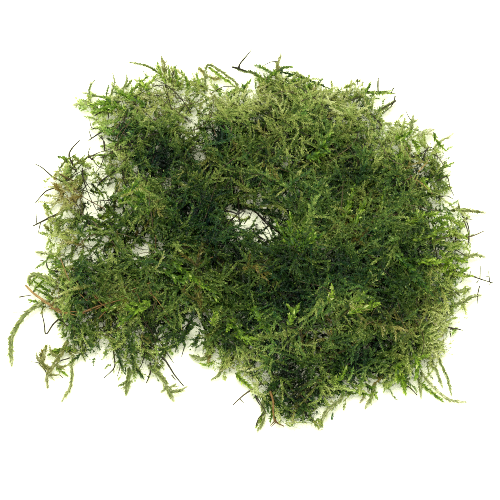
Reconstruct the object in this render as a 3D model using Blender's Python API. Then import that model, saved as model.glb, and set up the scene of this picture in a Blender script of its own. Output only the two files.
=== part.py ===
"""A clump of water moss that lies flat on a table.

The clump is a tangle of feathery shoots. The tangle's mass is one solid of its own form, moss_mat, with
the gaps that can be seen through it. The leafy fronds and the bare stems that stand out from its rim are
solids of their own, each cut off 0.3 mm short of the mat that it grows from.

Lengths are in metres and +Z is up. The origin is at the middle of the clump's box, on the surface that
the clump lies on. The rim, the gaps and the shoots were read by eye from a photograph of 500 by 500
pixels, taken from steeply above: plan() turns such a reading into a place at real size.
"""

import math
from collections import namedtuple

import bmesh
import bpy
import numpy as np
from mathutils import Vector, noise
from mathutils.geometry import delaunay_2d_cdt, intersect_point_line

MM = 0.001

# Driving dimensions
CLUMP_LENGTH = 140 * MM  # from the tip of the leftmost frond to the tip of the rightmost twig
MAT_THICKNESS = 12 * MM  # of the tangle away from its rim, before domes, lumps and hollows
DOME_HEIGHT = 6 * MM  # by which the thick right half stands above the left
RIM_TOP = 4.6 * MM  # upper edge of the mat's rim
RIM_UNDER = 1.6 * MM  # lower edge of the rim, which is lifted off the table
RIM_LIFT_WIDTH = 6 * MM  # how far in from the rim the underside meets the table
RIM_ROUNDING = 6.5 * MM  # how fast the top rises behind the rim
GAP_TOP = 6.5 * MM  # upper edge of the mat around a see-through gap
GAP_SLOPE = 1.3  # how steeply the top rises around a gap
SHOOT_HEIGHT = 3.1 * MM  # where a shoot leaves the rim
CLEARANCE = 0.3 * MM  # between a shoot and the mat
FLATNESS = 0.42  # of a frond, which is broader than it is deep
LEAST_DEPTH = 0.7 * MM  # of a slender frond
SPRIG_SHARE = 0.75  # a broad frond's sprigs to the frond's own width
THIN_SPRIG = 0.5 * MM  # a sprig on a slender frond or a bare stem
BROAD = 1.5 * MM  # a frond over this width counts as broad

# The photograph's frame
LEFT_TIP_PX = 11.0
RIGHT_TIP_PX = 493.0
MIDDLE_PX = (251.4, 240.5)  # lies over the origin
VIEW_ELEVATION = math.radians(72)
PER_PX = CLUMP_LENGTH / (RIGHT_TIP_PX - LEFT_TIP_PX)
DOME_MIDDLE_PX = (335, 240)
DOME_REACH_PX = 110

TUFT_HEIGHT = 2.6 * MM  # of the top's uneven tufts
TIP_HEIGHT = 2.0 * MM  # of the small peaks on them
RAGGEDNESS = 1.5 * MM  # how far the tufts at the rim stand out and the notches between them run in

# Meshing
RIM_STEP = 2.2 * MM  # between points along the rim
TOP_STEP = 2.9 * MM  # between points of the top
UNDER_STEP = 2 * TOP_STEP  # between points of the underside
PATH_STEP = 3.6 * MM  # between rings along a shoot
GAP_CORNERS = 10
GAP_RAGGEDNESS = 0.16  # of a gap's edge, as a share of its size

# The rim of the tangle, clockwise from the left of the upper left lobe
RIM_PX = (
    (96, 127), (89, 113), (79, 104), (88, 97), (110, 91), (123, 89), (136, 83), (146, 79),
    (155, 68), (164, 64), (172, 72), (184, 76), (191, 78), (197, 77), (202, 85), (212, 92),
    (226, 88), (238, 84), (246, 90), (252, 93), (257, 87), (257, 76), (263, 69), (272, 70), (281, 69),
    (298, 73), (314, 79), (330, 86), (338, 88), (343, 96), (348, 89), (352, 85), (366, 84),
    (376, 92), (386, 100), (383, 114), (381, 128), (386, 133), (392, 123), (404, 123), (418, 131),
    (430, 138), (442, 143), (441, 150), (445, 158), (447, 172), (453, 186), (447, 202),
    (458, 212), (466, 224), (467, 240), (468, 256), (460, 268), (456, 279), (459, 292), (453, 306),
    (447, 316), (448, 332), (443, 347), (434, 357), (429, 368), (420, 382), (405, 386),
    (390, 387), (374, 388), (358, 390), (343, 391), (333, 400), (322, 411), (315, 420),
    (305, 422), (288, 420), (275, 413), (269, 405), (262, 399), (258, 391), (252, 381), (242, 371),
    (226, 363), (210, 355), (198, 347), (186, 343), (173, 344), (166, 356), (156, 368),
    (142, 371), (128, 374), (119, 361), (113, 350), (108, 338), (99, 334), (98, 342), (101, 350),
    (86, 348), (72, 346), (65, 336), (60, 326), (55, 312), (52, 292), (51, 276), (54, 262),
    (58, 250), (54, 237), (50, 222), (48, 206), (51, 194), (54, 181), (64, 168), (78, 162),
    (92, 157), (104, 150), (110, 141), (100, 135),
)

Gap = namedtuple("Gap", "middle half_length half_width turn")
# Gaps where the table shows through, in pixels, turned by degrees clockwise as seen
GAPS_PX = (
    Gap((239, 214), 15, 9, 8),
    Gap((268, 229), 14, 7, 40),
    Gap((91, 188), 7, 8, 0),
    Gap((110, 187), 6, 6, 0),
    Gap((97, 244), 11, 5, 5),
    Gap((141, 249), 12, 6, -10),
    Gap((192, 320), 9, 9, 0),
    Gap((421, 150), 9, 5, 20),
    Gap((190, 122), 6, 5, 40),
)

Swell = namedtuple("Swell", "middle radius height")
# Lumps and hollows of the top: middle and radius in pixels, height in millimetres
SWELLS = (
    Swell((290, 236), 26, 3.5), Swell((134, 198), 24, 2.0), Swell((345, 306), 24, 3.5),
    Swell((248, 330), 22, 3.5), Swell((92, 300), 26, 2.5), Swell((135, 318), 26, 2.0),
    Swell((312, 125), 28, 3.0), Swell((412, 205), 34, 3.5), Swell((402, 338), 26, 2.0),
    Swell((142, 106), 24, 1.0), Swell((182, 252), 22, 2.5), Swell((214, 284), 15, 2.5),
    Swell((304, 392), 22, 1.5), Swell((358, 106), 20, 2.5), Swell((376, 236), 26, 2.5),
    Swell((66, 212), 14, 1.0), Swell((330, 376), 18, 2.0), Swell((440, 268), 24, 2.0),
    Swell((218, 128), 11, -6.0), Swell((165, 156), 15, -5.5), Swell((198, 226), 18, -5.0),
    Swell((284, 298), 18, -5.0), Swell((362, 358), 22, -6.0), Swell((405, 284), 14, -4.5),
    Swell((112, 124), 13, -3.5), Swell((326, 164), 15, -4.5), Swell((366, 182), 14, -4.5),
    Swell((122, 282), 18, -4.0), Swell((250, 166), 12, -4.5), Swell((298, 358), 13, -4.0),
    Swell((232, 302), 14, -4.0), Swell((176, 300), 16, -3.5),
    Swell((94, 188), 34, -4.5), Swell((104, 246), 26, -4.0), Swell((110, 112), 28, -2.5),
    Swell((198, 98), 28, -3.0), Swell((432, 150), 22, -3.5), Swell((458, 236), 20, -2.5),
)

Shoot = namedtuple("Shoot", "name kind width rise tip path sprigs")
LEAFY = "leafy"
BARE = "bare"
RUSTY = "rusty"
# The shoots that stand out from the rim, clockwise from the upper left. width is over the leaves, rise
# is how far the shoot arches and tip is its tip's height, all in millimetres. path runs in pixels from
# inside the mat to the tip, and each sprig runs from a place on the path to its own tip.
SHOOTS = (
    Shoot("frond_upper_left_arched", LEAFY, 1.4, 1.5, 1.6,
          ((118, 99), (105, 97), (94, 95), (88, 93), (82, 92)), (((88, 93), (89, 86), (94, 79)),)),
    Shoot("frond_upper_left_upright", LEAFY, 1.0, 2.0, 3.0,
          ((110, 101), (112, 88), (114, 81), (112, 73)), ()),
    Shoot("frond_upper_left_leaning", LEAFY, 1.2, 2.0, 2.6,
          ((117, 99), (121, 90), (126, 82), (126, 74)), ()),
    Shoot("frond_top_left_slender", LEAFY, 1.2, 2.0, 2.2, ((160, 73), (146, 65), (129, 61)), ()),
    Shoot("frond_top_left_tuft", LEAFY, 2.4, 2.5, 4.0, ((165, 79), (164, 68), (161, 56)), ()),
    Shoot("frond_top_hooped", LEAFY, 1.3, 2.0, 3.1,
          ((204, 92), (205, 78), (207, 64), (217, 68), (227, 75), (236, 82), (239, 92)), ()),
    Shoot("frond_top_with_twig", LEAFY, 1.4, 1.5, 2.0, ((266, 80), (254, 72), (245, 70), (235, 67)),
          (((239, 68), (240, 63), (245, 57), (252, 48)),)),
    Shoot("frond_top_tuft", LEAFY, 1.3, 2.5, 3.0, ((277, 79), (278, 64), (281, 53)),
          (((279, 61), (271, 61), (263, 65)),)),
    Shoot("frond_top_right_branched", LEAFY, 1.0, 1.5, 2.0, ((366, 92), (381, 91), (396, 93)),
          (((379, 91), (378, 84), (379, 77)), ((391, 92), (395, 87)))),
    Shoot("frond_top_right_leaning", LEAFY, 1.6, 1.5, 1.8, ((375, 113), (387, 106), (396, 100)), ()),
    Shoot("frond_upper_right_upright", LEAFY, 1.6, 1.5, 2.6,
          ((411, 134), (412, 127), (413, 121), (414, 115)), (((412, 121), (409, 116), (406, 109)),)),
    Shoot("frond_upper_right_broad", LEAFY, 2.6, 1.5, 2.0, ((417, 139), (425, 132), (434, 129)), ()),
    Shoot("frond_upper_right_pale", LEAFY, 1.3, 1.0, 1.6,
          ((434, 148), (443, 140), (449, 137), (454, 133)), ()),
    Shoot("frond_right_upper", LEAFY, 1.6, 1.5, 1.6, ((450, 211), (460, 210), (470, 211), (485, 213)),
          (((460, 210), (458, 202)),)),
    Shoot("stem_right_pale", BARE, 0.5, 1.0, 1.2, ((460, 238), (472, 236), (484, 231)), ()),
    Shoot("frond_right_middle", LEAFY, 1.7, 1.0, 1.4, ((462, 259), (474, 255), (484, 257)), ()),
    Shoot("twig_right", BARE, 0.5, 1.0, 1.6,
          ((455, 271), (464, 274), (474, 277), (483, 280), (493, 283)),
          (((470, 276), (470, 271)), ((480, 279), (480, 266)), ((489, 281), (488, 271)))),
    Shoot("frond_right_short", LEAFY, 1.7, 1.0, 1.6, ((453, 293), (462, 291), (470, 288)), ()),
    Shoot("frond_right_lower", LEAFY, 1.8, 1.5, 1.4,
          ((445, 309), (456, 304), (464, 301), (471, 297), (480, 295)), (((477, 296), (479, 287)),)),
    Shoot("stem_right_lower", BARE, 0.5, 0.8, 1.0, ((442, 326), (453, 328), (462, 330)), ()),
    Shoot("frond_lower_right_outer", LEAFY, 1.3, 1.5, 1.2,
          ((435, 348), (439, 361), (443, 370), (447, 380), (450, 394)), ()),
    Shoot("frond_lower_right_inner", LEAFY, 1.4, 1.5, 1.0,
          ((428, 355), (433, 365), (437, 375), (441, 386)), ()),
    Shoot("frond_lower_right_long", LEAFY, 1.5, 1.5, 1.0,
          ((419, 371), (428, 382), (437, 391), (446, 398), (455, 400), (464, 401)), ()),
    Shoot("frond_lower_right_drooping", LEAFY, 1.6, 1.0, 1.0, ((415, 371), (418, 381), (420, 396)), ()),
    Shoot("stem_lower_right", BARE, 0.5, 0.8, 0.9, ((398, 380), (409, 387), (416, 394)), ()),
    Shoot("frond_bottom_right", LEAFY, 1.9, 1.0, 1.0, ((374, 381), (371, 395), (365, 406)), ()),
    Shoot("frond_bottom_curved", LEAFY, 1.7, 1.5, 1.0,
          ((343, 386), (340, 398), (328, 408), (322, 417), (318, 427)), ()),
    Shoot("stem_bottom_rusty", RUSTY, 0.6, 1.0, 0.9, ((277, 404), (275, 412), (276, 420), (284, 425)),
          (((276, 420), (271, 425)),)),
    Shoot("frond_bottom_left", LEAFY, 1.9, 1.0, 1.0,
          ((266, 394), (263, 404), (264, 412), (262, 421), (258, 429)), (((263, 417), (256, 424)),)),
    Shoot("twig_bottom_left", BARE, 0.6, 1.0, 0.9,
          ((262, 382), (251, 389), (245, 393), (238, 399), (233, 404)), (((239, 398), (244, 402)),)),
    Shoot("frond_lower_middle_short", LEAFY, 1.5, 1.0, 1.0,
          ((225, 357), (222, 367), (219, 374), (212, 379)), ()),
    Shoot("frond_lower_middle_left", LEAFY, 2.0, 1.0, 1.2, ((214, 350), (204, 358), (191, 355)), ()),
    Shoot("frond_lower_left_forked", LEAFY, 1.7, 1.5, 1.0,
          ((148, 364), (162, 376), (168, 387), (174, 399)),
          (((168, 387), (161, 392)), ((169, 390), (181, 389)))),
    Shoot("stem_lower_left_long", BARE, 0.6, 1.0, 0.9,
          ((157, 352), (166, 360), (175, 374), (184, 385)), ()),
    Shoot("stem_lower_left_short", BARE, 0.6, 0.8, 0.9, ((151, 362), (151, 372), (147, 382)), ()),
    Shoot("frond_lower_left_tuft", LEAFY, 2.6, 1.0, 1.4, ((130, 366), (129, 379), (127, 393)),
          (((129, 380), (120, 385)), ((128, 384), (133, 379)))),
    Shoot("stem_lower_left_kinked", BARE, 0.5, 1.0, 0.9,
          ((113, 341), (115, 356), (115, 367), (105, 377)), ()),
    Shoot("frond_left_foot_short", LEAFY, 1.5, 0.8, 1.0, ((83, 340), (83, 352), (86, 360)), ()),
    Shoot("frond_left_foot_drooping", LEAFY, 1.6, 1.0, 1.0,
          ((76, 340), (74, 354), (73, 366), (73, 377), (71, 388), (63, 400)), ()),
    Shoot("frond_left_foot_branched", LEAFY, 2.0, 1.0, 1.2,
          ((69, 340), (63, 352), (57, 362), (51, 370), (47, 379)),
          (((50, 371), (44, 363), (46, 348)), ((49, 374), (60, 374)), ((48, 376), (49, 387)))),
    Shoot("stem_left_hooked", BARE, 0.5, 0.6, 0.8,
          ((62, 317), (54, 324), (47, 334), (45, 323), (42, 311)), ()),
    Shoot("frond_left_long", LEAFY, 2.0, 1.5, 1.0,
          ((60, 298), (41, 304), (29, 312), (20, 323), (14, 334), (12, 346), (13, 364)),
          (((28, 313), (14, 312)),)),
    Shoot("stem_left_rusty", RUSTY, 0.8, 0.6, 2.6, ((60, 290), (46, 295), (36, 292), (27, 286)), ()),
    Shoot("frond_left_curled", LEAFY, 2.2, 1.0, 1.8,
          ((60, 285), (50, 280), (41, 276), (33, 275), (29, 280)), ()),
    Shoot("stem_left_bent", BARE, 0.5, 1.0, 1.2, ((58, 272), (49, 269), (46, 262), (40, 260)), ()),
    Shoot("frond_left_slender", LEAFY, 1.8, 1.2, 1.4, ((66, 255), (51, 254), (36, 252)), ()),
    Shoot("twig_left", BARE, 0.7, 1.0, 1.4, ((58, 214), (47, 219), (33, 226)),
          (((37, 224), (36, 213)), ((41, 222), (38, 235)))),
    Shoot("stem_left_drooping", BARE, 0.5, 1.2, 1.0,
          ((61, 187), (54, 188), (46, 191), (40, 197), (35, 203)), ()),
    Shoot("stem_left_upper", BARE, 0.5, 1.6, 1.8,
          ((64, 182), (53, 177), (47, 172), (41, 167), (35, 164)), ()),
    Shoot("stem_left_top", BARE, 0.6, 1.6, 3.0, ((76, 170), (69, 157), (71, 149), (79, 140)), ()),
    Shoot("twig_upper_left", BARE, 0.6, 1.0, 1.4, ((108, 127), (97, 134), (88, 140)),
          (((91, 138), (88, 129)),)),
    Shoot("frond_upper_left_feathery", LEAFY, 2.4, 1.0, 1.6, ((98, 108), (86, 103), (73, 104)), ()),
)

COLOURS = {
    "mat": (0.055, 0.105, 0.022),
    LEAFY: (0.21, 0.33, 0.05),
    BARE: (0.030, 0.026, 0.018),
    RUSTY: (0.32, 0.12, 0.03),
}
ROUGHNESS = {"mat": 0.6, LEAFY: 0.5, BARE: 0.55, RUSTY: 0.5}
SECTION_SIDES = {LEAFY: 6, BARE: 5, RUSTY: 5}
SPRIG_SIDES = 4

# How wide a shoot is at its base and at its tip, as shares of its full width
LEAFY_TAPER = (0.7, 0.35)
LEAFY_DEPTH_TAPER = (0.8, 0.5)
BARE_TAPER = (1.0, 0.6)


def plan(point, height=0.0):
    """The place at this height that is seen at a pixel of the photograph."""
    across = (point[0] - MIDDLE_PX[0]) * PER_PX
    up_the_picture = (MIDDLE_PX[1] - point[1]) * PER_PX
    away = (up_the_picture - height * math.cos(VIEW_ELEVATION)) / math.sin(VIEW_ELEVATION)
    return Vector((across, away, height))


def spline(points, step, closed=False):
    """Points about a step apart on a smooth curve through these ones."""
    count = len(points)
    found = []
    for i in range(count if closed else count - 1):
        if closed:
            before, start, end, after = (points[(i + k) % count] for k in (-1, 0, 1, 2))
        else:
            before, start, end, after = (points[min(max(i + k, 0), count - 1)] for k in (-1, 0, 1, 2))
        pieces = max(1, round((end - start).length / step))
        for k in range(pieces):
            t = k / pieces
            leave, arrive = (end - before) / 2, (after - start) / 2
            found.append(
                start * (2 * t**3 - 3 * t**2 + 1) + leave * (t**3 - 2 * t**2 + t)
                + end * (3 * t**2 - 2 * t**3) + arrive * (t**3 - t**2)
            )
    if not closed:
        found.append(points[-1].copy())
    return found


def set_out(loop, ways):
    """An outline moved outwards by its own way at each point."""
    along = np.roll(loop, -1, 0) - np.roll(loop, 1, 0)
    along /= np.linalg.norm(along, axis=1)[:, None]
    return loop + ways[:, None] * np.stack([along[:, 1], -along[:, 0]], 1)


def rim_loop(grow=0.0):
    """The mat's outline, counter-clockwise from above, with its tufts and notches, set out by grow."""
    loop = spline([plan(p, RIM_TOP) for p in reversed(RIM_PX)], RIM_STEP, closed=True)
    tufts = np.array([noise.noise(Vector((p.x, p.y, 0.02)) / (3.1 * MM)) for p in loop])
    loop = set_out(np.array([p.xy for p in loop]), 2 * RAGGEDNESS * tufts)
    return set_out(loop, np.full(len(loop), grow))


def gap_loop(gap, grow=0.0):
    """The outline of a see-through gap, clockwise from above, with a slightly ragged edge."""
    middle, found = plan(gap.middle, GAP_TOP), []
    turn = -math.radians(gap.turn)
    for i in range(GAP_CORNERS):
        angle = -2 * math.pi * i / GAP_CORNERS
        ragged = 1 + GAP_RAGGEDNESS * noise.noise(Vector((gap.middle[0], gap.middle[1], 1.7 * i)))
        u = (gap.half_length * PER_PX * ragged - grow) * math.cos(angle)
        v = (gap.half_width * PER_PX * ragged - grow) * math.sin(angle)
        found.append((
            middle.x + u * math.cos(turn) - v * math.sin(turn),
            middle.y + u * math.sin(turn) + v * math.cos(turn),
        ))
    return np.array(found)


def distances(points, loop):
    """How far each point is from a closed outline, and whether it lies inside."""
    start, end = loop, np.roll(loop, -1, 0)
    way = end - start
    from_start = points[:, None] - start
    share = (from_start * way).sum(2) / (way**2).sum(1)
    nearest = start + np.clip(share, 0, 1)[:, :, None] * way
    distance = np.linalg.norm(points[:, None] - nearest, axis=2).min(1)
    x, y = points[:, :1], points[:, 1:]
    crosses = (start[:, 1] > y) != (end[:, 1] > y)
    rise = np.where(way[:, 1] == 0, 1e-12, way[:, 1])
    inside = (crosses & (x < start[:, 0] + (y - start[:, 1]) * way[:, 0] / rise)).sum(1) % 2 == 1
    return distance, inside


def full_height(x, y):
    """The height that the tangle's top would have far from its rim and gaps."""
    dome_middle = plan(DOME_MIDDLE_PX)
    reach = DOME_REACH_PX * PER_PX
    near = ((x - dome_middle.x) ** 2 + (y - dome_middle.y) ** 2) / reach**2
    height = MAT_THICKNESS + DOME_HEIGHT * math.exp(-near)
    for swell in SWELLS:
        middle = plan(swell.middle, MAT_THICKNESS)
        spread = swell.radius * PER_PX
        near = ((x - middle.x) ** 2 + (y - middle.y) ** 2) / spread**2
        height += swell.height * MM * math.exp(-near)
    tufts = noise.noise(Vector((x, y, 0.0)) / (9 * MM))
    tips = noise.noise(Vector((x, y, 0.05)) / (3.4 * MM))
    return height + TUFT_HEIGHT * tufts + TIP_HEIGHT * tips


def top_height(x, y, from_rim, from_gap):
    """The top's height, which falls to the rim and around the gaps."""
    full = full_height(x, y)
    at_rim = RIM_TOP + (full - RIM_TOP) * (1 - math.exp(-from_rim / RIM_ROUNDING))
    at_gap = GAP_TOP + GAP_SLOPE * from_gap
    return max(min(at_rim, at_gap), RIM_TOP * 0.9)


def under_height(from_rim):
    """The underside's height: lifted at the rim, flat on the table further in."""
    share = max(0.0, 1 - from_rim / RIM_LIFT_WIDTH)
    return RIM_UNDER * share**1.5


def lattice(rim, gaps, step, deepest):
    """Points of a triangular lattice inside the mat, at most so far from its rim."""
    low, high = rim.min(0), rim.max(0)
    row_step = step * math.sqrt(3) / 2
    rows = int((high[1] - low[1]) / row_step) + 1
    columns = int((high[0] - low[0]) / step) + 2
    points = np.array([
        (low[0] + (j + 0.5 * (i % 2)) * step, low[1] + i * row_step)
        for i in range(rows) for j in range(columns)
    ])
    from_rim, inside = distances(points, rim)
    kept = inside & (from_rim > 0.55 * step) & (from_rim < deepest)
    for gap in gaps:
        from_gap, within = distances(points, gap)
        kept &= ~within & (from_gap > 0.55 * step)
    return points[kept]


def sheet_of(rim, gaps, inner):
    """Triangles of the plan between the rim and the gaps, as corners and faces."""
    loops = [rim, *gaps]
    corners = [Vector(p) for loop in loops for p in loop] + [Vector(p) for p in inner]
    edges, first = [], 0
    for loop in loops:
        count = len(loop)
        edges += [(first + i, first + (i + 1) % count) for i in range(count)]
        first += count
    points, _, faces, *_ = delaunay_2d_cdt(corners, edges, [], 1, 1e-7)
    faces = [f for f in faces if not in_a_gap(points, f, gaps)]
    return points, faces


def in_a_gap(points, face, gaps):
    middle = np.mean([points[i] for i in face], axis=0)[None]
    return any(distances(middle, gap)[1][0] for gap in gaps)


def mat_mesh(name, grow=0.0):
    """The tangle's form as one closed mesh, set out by grow on all sides."""
    rim = rim_loop(grow)
    gaps = [gap_loop(gap, grow) for gap in GAPS_PX]
    mesh = bmesh.new()
    borders = []
    for is_top in (True, False):
        step = TOP_STEP if is_top else UNDER_STEP
        inner = lattice(rim, gaps, step, math.inf if is_top else RIM_LIFT_WIDTH + step / 2)
        points, faces = sheet_of(rim, gaps, inner)
        plain = np.array([tuple(p) for p in points])
        from_rim, _ = distances(plain, rim)
        from_gap = np.min([distances(plain, gap)[0] for gap in gaps], axis=0)
        made = []
        for (x, y), rim_way, gap_way in zip(plain, from_rim, from_gap):
            z = top_height(x, y, rim_way, gap_way) + grow if is_top else under_height(rim_way) - grow
            made.append(mesh.verts.new((x, y, z)))
        for face in faces:
            turned = face if is_top else face[::-1]
            mesh.faces.new([made[i] for i in turned])
        edge_count = len(rim) + sum(len(gap) for gap in gaps)
        borders.append(made[:edge_count])
    first = 0
    for loop in [rim, *gaps]:
        count = len(loop)
        for i in range(count):
            a, b = first + i, first + (i + 1) % count
            mesh.faces.new((borders[1][a], borders[1][b], borders[0][b], borders[0][a]))
        first += count
    bmesh.ops.recalc_face_normals(mesh, faces=mesh.faces)
    bmesh.ops.triangulate(mesh, faces=mesh.faces)
    data = bpy.data.meshes.new(name)
    mesh.to_mesh(data)
    mesh.free()
    return data


def swept_mesh(name, points, widths, depths, sides):
    """A closed tapering bar along points, with an oval section that lies flat."""
    mesh = bmesh.new()
    rings = []
    for i, point in enumerate(points):
        along = (points[min(i + 1, len(points) - 1)] - points[max(i - 1, 0)]).normalized()
        across = along.cross(Vector((0, 0, 1))).normalized()
        up = across.cross(along)
        rings.append([
            mesh.verts.new(
                point + across * (widths[i] / 2 * math.cos(2 * math.pi * k / sides))
                + up * (depths[i] / 2 * math.sin(2 * math.pi * k / sides))
            )
            for k in range(sides)
        ])
    for ring, following in zip(rings, rings[1:]):
        for k in range(sides):
            mesh.faces.new((ring[k], ring[(k + 1) % sides], following[(k + 1) % sides], following[k]))
    mesh.faces.new(rings[0][::-1])
    mesh.faces.new(rings[-1])
    bmesh.ops.recalc_face_normals(mesh, faces=mesh.faces)
    data = bpy.data.meshes.new(name)
    mesh.to_mesh(data)
    mesh.free()
    return data


def shoot_line(shoot):
    """The middle line of a shoot at real size: it arches from the rim and comes down to its tip."""
    plans = [Vector(p) for p in shoot.path]
    lengths = [0.0]
    for start, end in zip(plans, plans[1:]):
        lengths.append(lengths[-1] + (end - start).length)
    corners = []
    for point, length in zip(plans, lengths):
        t = length / lengths[-1]
        height = SHOOT_HEIGHT + (shoot.tip * MM - SHOOT_HEIGHT) * t**1.5
        corners.append(plan(point, height + 4 * shoot.rise * MM * t**1.3 * (1 - t)))
    return spline(corners, PATH_STEP)


def sprig_line(sprig, line):
    """The middle line of a side sprig, which starts on the shoot's own line and rises a little."""
    places = []
    for start, end in zip(line, line[1:]):
        _, share = intersect_point_line(plan(sprig[0], start.z), start, end)
        places.append(start.lerp(end, min(max(share, 0.0), 1.0)))
    root = min(places, key=lambda p: (p - plan(sprig[0], p.z)).length)
    ends = [plan(p, root.z + 0.5 * MM * k) for k, p in enumerate(sprig[1:], 1)]
    return spline([root, *ends], PATH_STEP)


def tapered(count, full, taper):
    """Widths along a shoot: full from a quarter of its length to a third, narrower at its ends."""
    at_base, at_tip = taper
    found = []
    for i in range(count):
        t = i / (count - 1)
        swell = at_base + (1 - at_base) * min(1.0, 4 * t)
        narrowing = max(0.0, (3 * t - 1) / 2) ** 1.6
        found.append(full * swell * (1 - (1 - at_tip) * narrowing))
    return found


def cutter(name, data):
    """An object that only shapes others."""
    tool = bpy.data.objects.new(name, data)
    bpy.context.scene.collection.objects.link(tool)
    tool.hide_render = True
    tool.display_type = "WIRE"
    tool.parent = bpy.data.objects["clump"]
    return tool


def add_boolean(target, tool, operation):
    modifier = target.modifiers.new(f"{operation.lower()} {tool.name}", "BOOLEAN")
    modifier.operation = operation
    modifier.solver = "EXACT"
    modifier.object = tool


def material(name, key):
    found = bpy.data.materials.new(name)
    found.use_nodes = True
    shader = found.node_tree.nodes["Principled BSDF"]
    shader.inputs["Base Color"].default_value = (*COLOURS[key], 1)
    shader.inputs["Roughness"].default_value = ROUGHNESS[key]
    shader.inputs["Metallic"].default_value = 0.0
    return found


def add_piece(name, data, key):
    """A piece of the clump, in a material of its own."""
    piece = bpy.data.objects.new(name, data)
    bpy.context.scene.collection.objects.link(piece)
    data.materials.append(material(f"{name} {key}", key))
    piece.parent = bpy.data.objects["clump"]
    return piece


def add_shoot(shoot, mat_cutter):
    """A frond or a bare stem with its sprigs, cut off just short of the mat."""
    line = shoot_line(shoot)
    width = shoot.width * MM
    if shoot.kind == LEAFY:
        widths = tapered(len(line), width, LEAFY_TAPER)
        depths = tapered(len(line), max(FLATNESS * width, LEAST_DEPTH), LEAFY_DEPTH_TAPER)
    else:
        widths = depths = tapered(len(line), width, BARE_TAPER)
    data = swept_mesh(shoot.name, line, widths, depths, SECTION_SIDES[shoot.kind])
    piece = add_piece(shoot.name, data, shoot.kind)
    for i, sprig in enumerate(shoot.sprigs):
        side = sprig_line(sprig, line)
        is_broad = shoot.kind == LEAFY and width > BROAD
        sprig_widths = tapered(len(side), SPRIG_SHARE * width if is_broad else THIN_SPRIG, LEAFY_DEPTH_TAPER)
        sprig_data = swept_mesh(f"{shoot.name} sprig {i}", side, sprig_widths, sprig_widths, SPRIG_SIDES)
        add_boolean(piece, cutter(f"{shoot.name} sprig {i}", sprig_data), "UNION")
    add_boolean(piece, mat_cutter, "DIFFERENCE")


def build():
    for old in list(bpy.data.objects):
        bpy.data.objects.remove(old)
    clump = bpy.data.objects.new("clump", None)
    bpy.context.scene.collection.objects.link(clump)
    add_piece("moss_mat", mat_mesh("moss_mat"), "mat")
    mat_cutter = cutter("mat with clearance", mat_mesh("mat with clearance", CLEARANCE))
    for shoot in SHOOTS:
        add_shoot(shoot, mat_cutter)


build()
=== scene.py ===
"""The looks of a clump of water moss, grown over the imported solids.

The solid moss_mat gives the tangle's form: its rim, its gaps and the heights of its top and underside.
Shoots are grown inside that form, each a thin stem with rows of small leaves and with side shoots, and
their leaves are joined into a few big meshes that stand for the mat. Each frond and bare stem that
stands out from the rim follows its own solid and stands for it.

Lengths are in metres. Places read from the photograph are pixels of its 500 by 500 frame, and plan()
turns them into places at real size.
"""

import math
from collections import namedtuple

import bpy
import numpy as np
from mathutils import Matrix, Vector
from mathutils.bvhtree import BVHTree
from mathutils.kdtree import KDTree

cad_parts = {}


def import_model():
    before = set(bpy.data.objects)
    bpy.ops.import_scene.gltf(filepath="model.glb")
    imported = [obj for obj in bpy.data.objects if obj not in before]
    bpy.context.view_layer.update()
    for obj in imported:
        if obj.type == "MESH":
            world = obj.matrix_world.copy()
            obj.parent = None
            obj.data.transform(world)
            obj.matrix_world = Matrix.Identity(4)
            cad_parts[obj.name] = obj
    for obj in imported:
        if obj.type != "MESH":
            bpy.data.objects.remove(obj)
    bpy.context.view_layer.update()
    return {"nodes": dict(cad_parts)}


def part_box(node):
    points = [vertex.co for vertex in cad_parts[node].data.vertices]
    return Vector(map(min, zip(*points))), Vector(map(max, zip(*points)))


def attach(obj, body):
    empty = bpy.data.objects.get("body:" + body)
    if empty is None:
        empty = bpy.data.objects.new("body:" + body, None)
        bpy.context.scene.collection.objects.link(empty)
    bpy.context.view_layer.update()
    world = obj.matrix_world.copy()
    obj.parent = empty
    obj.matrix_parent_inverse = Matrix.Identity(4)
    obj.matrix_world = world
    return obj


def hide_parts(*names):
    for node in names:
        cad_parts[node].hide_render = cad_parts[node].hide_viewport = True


MM = 0.001

# The clump's size and the photograph's frame, as the solids have them
CLUMP_LENGTH = 140 * MM
LEFT_TIP_PX = 11.0
RIGHT_TIP_PX = 493.0
MIDDLE_PX = (251.4, 240.5)
PER_PX = CLUMP_LENGTH / (RIGHT_TIP_PX - LEFT_TIP_PX)
PHOTO_SIDE_PX = 500
VIEW_ELEVATION = math.radians(72)
CAMERA_DISTANCE = 2.2
TABLE_SIDE = 8.0

# Moss leaves and stems
LEAF_LENGTH = 1.0 * MM  # on the broadest shoots
LEAF_WIDTH = 0.42 * MM
LEAF_SPREAD = math.radians(40)  # between a leaf and its stem
FROND_SPREAD = math.radians(30)  # the same on the neater shoots that stand out
STEM_THICKNESS = 0.15 * MM
SPRIG_THICKNESS = 0.32 * MM  # of a sprig without leaves
TABLE_CLEARANCE = 0.06 * MM
PALE = 0.80  # tone over which shoots get paler only slowly
LACE_SHARE = 0.85  # of the leaves that is missing in the small holes near the rim
FROND_HEIGHT = 3.1 * MM  # where a frond leaves the rim

# Points along a strand, a side shoot and a frond
STRAND_POINTS = 14
SIDE_POINTS = 5
FROND_POINTS = 20
GRID_STEP = 0.7 * MM
FORM_MARGIN = 9 * MM
LUMP_LENGTH = 6.5 * MM  # tufts that the shoots gather in
LUMP_HEIGHT = 1.5 * MM

# Lengths over which the growth changes: its lie, its tone in patches and specks, its age, the edges of
# its gaps and its small holes
LIE_LENGTH = 15 * MM
PATCH_LENGTH = 6 * MM
SPECK_LENGTH = 2.6 * MM
AGE_LENGTH = 8 * MM
FRAY_LENGTH = 1.3 * MM
LACE_LENGTH = 1.15 * MM

# Heights of the tangle's top, for places whose own height isn't known
LOW_TOP = 8 * MM
MIDDLE_TOP = 10 * MM
HIGH_TOP = 14 * MM

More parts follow.
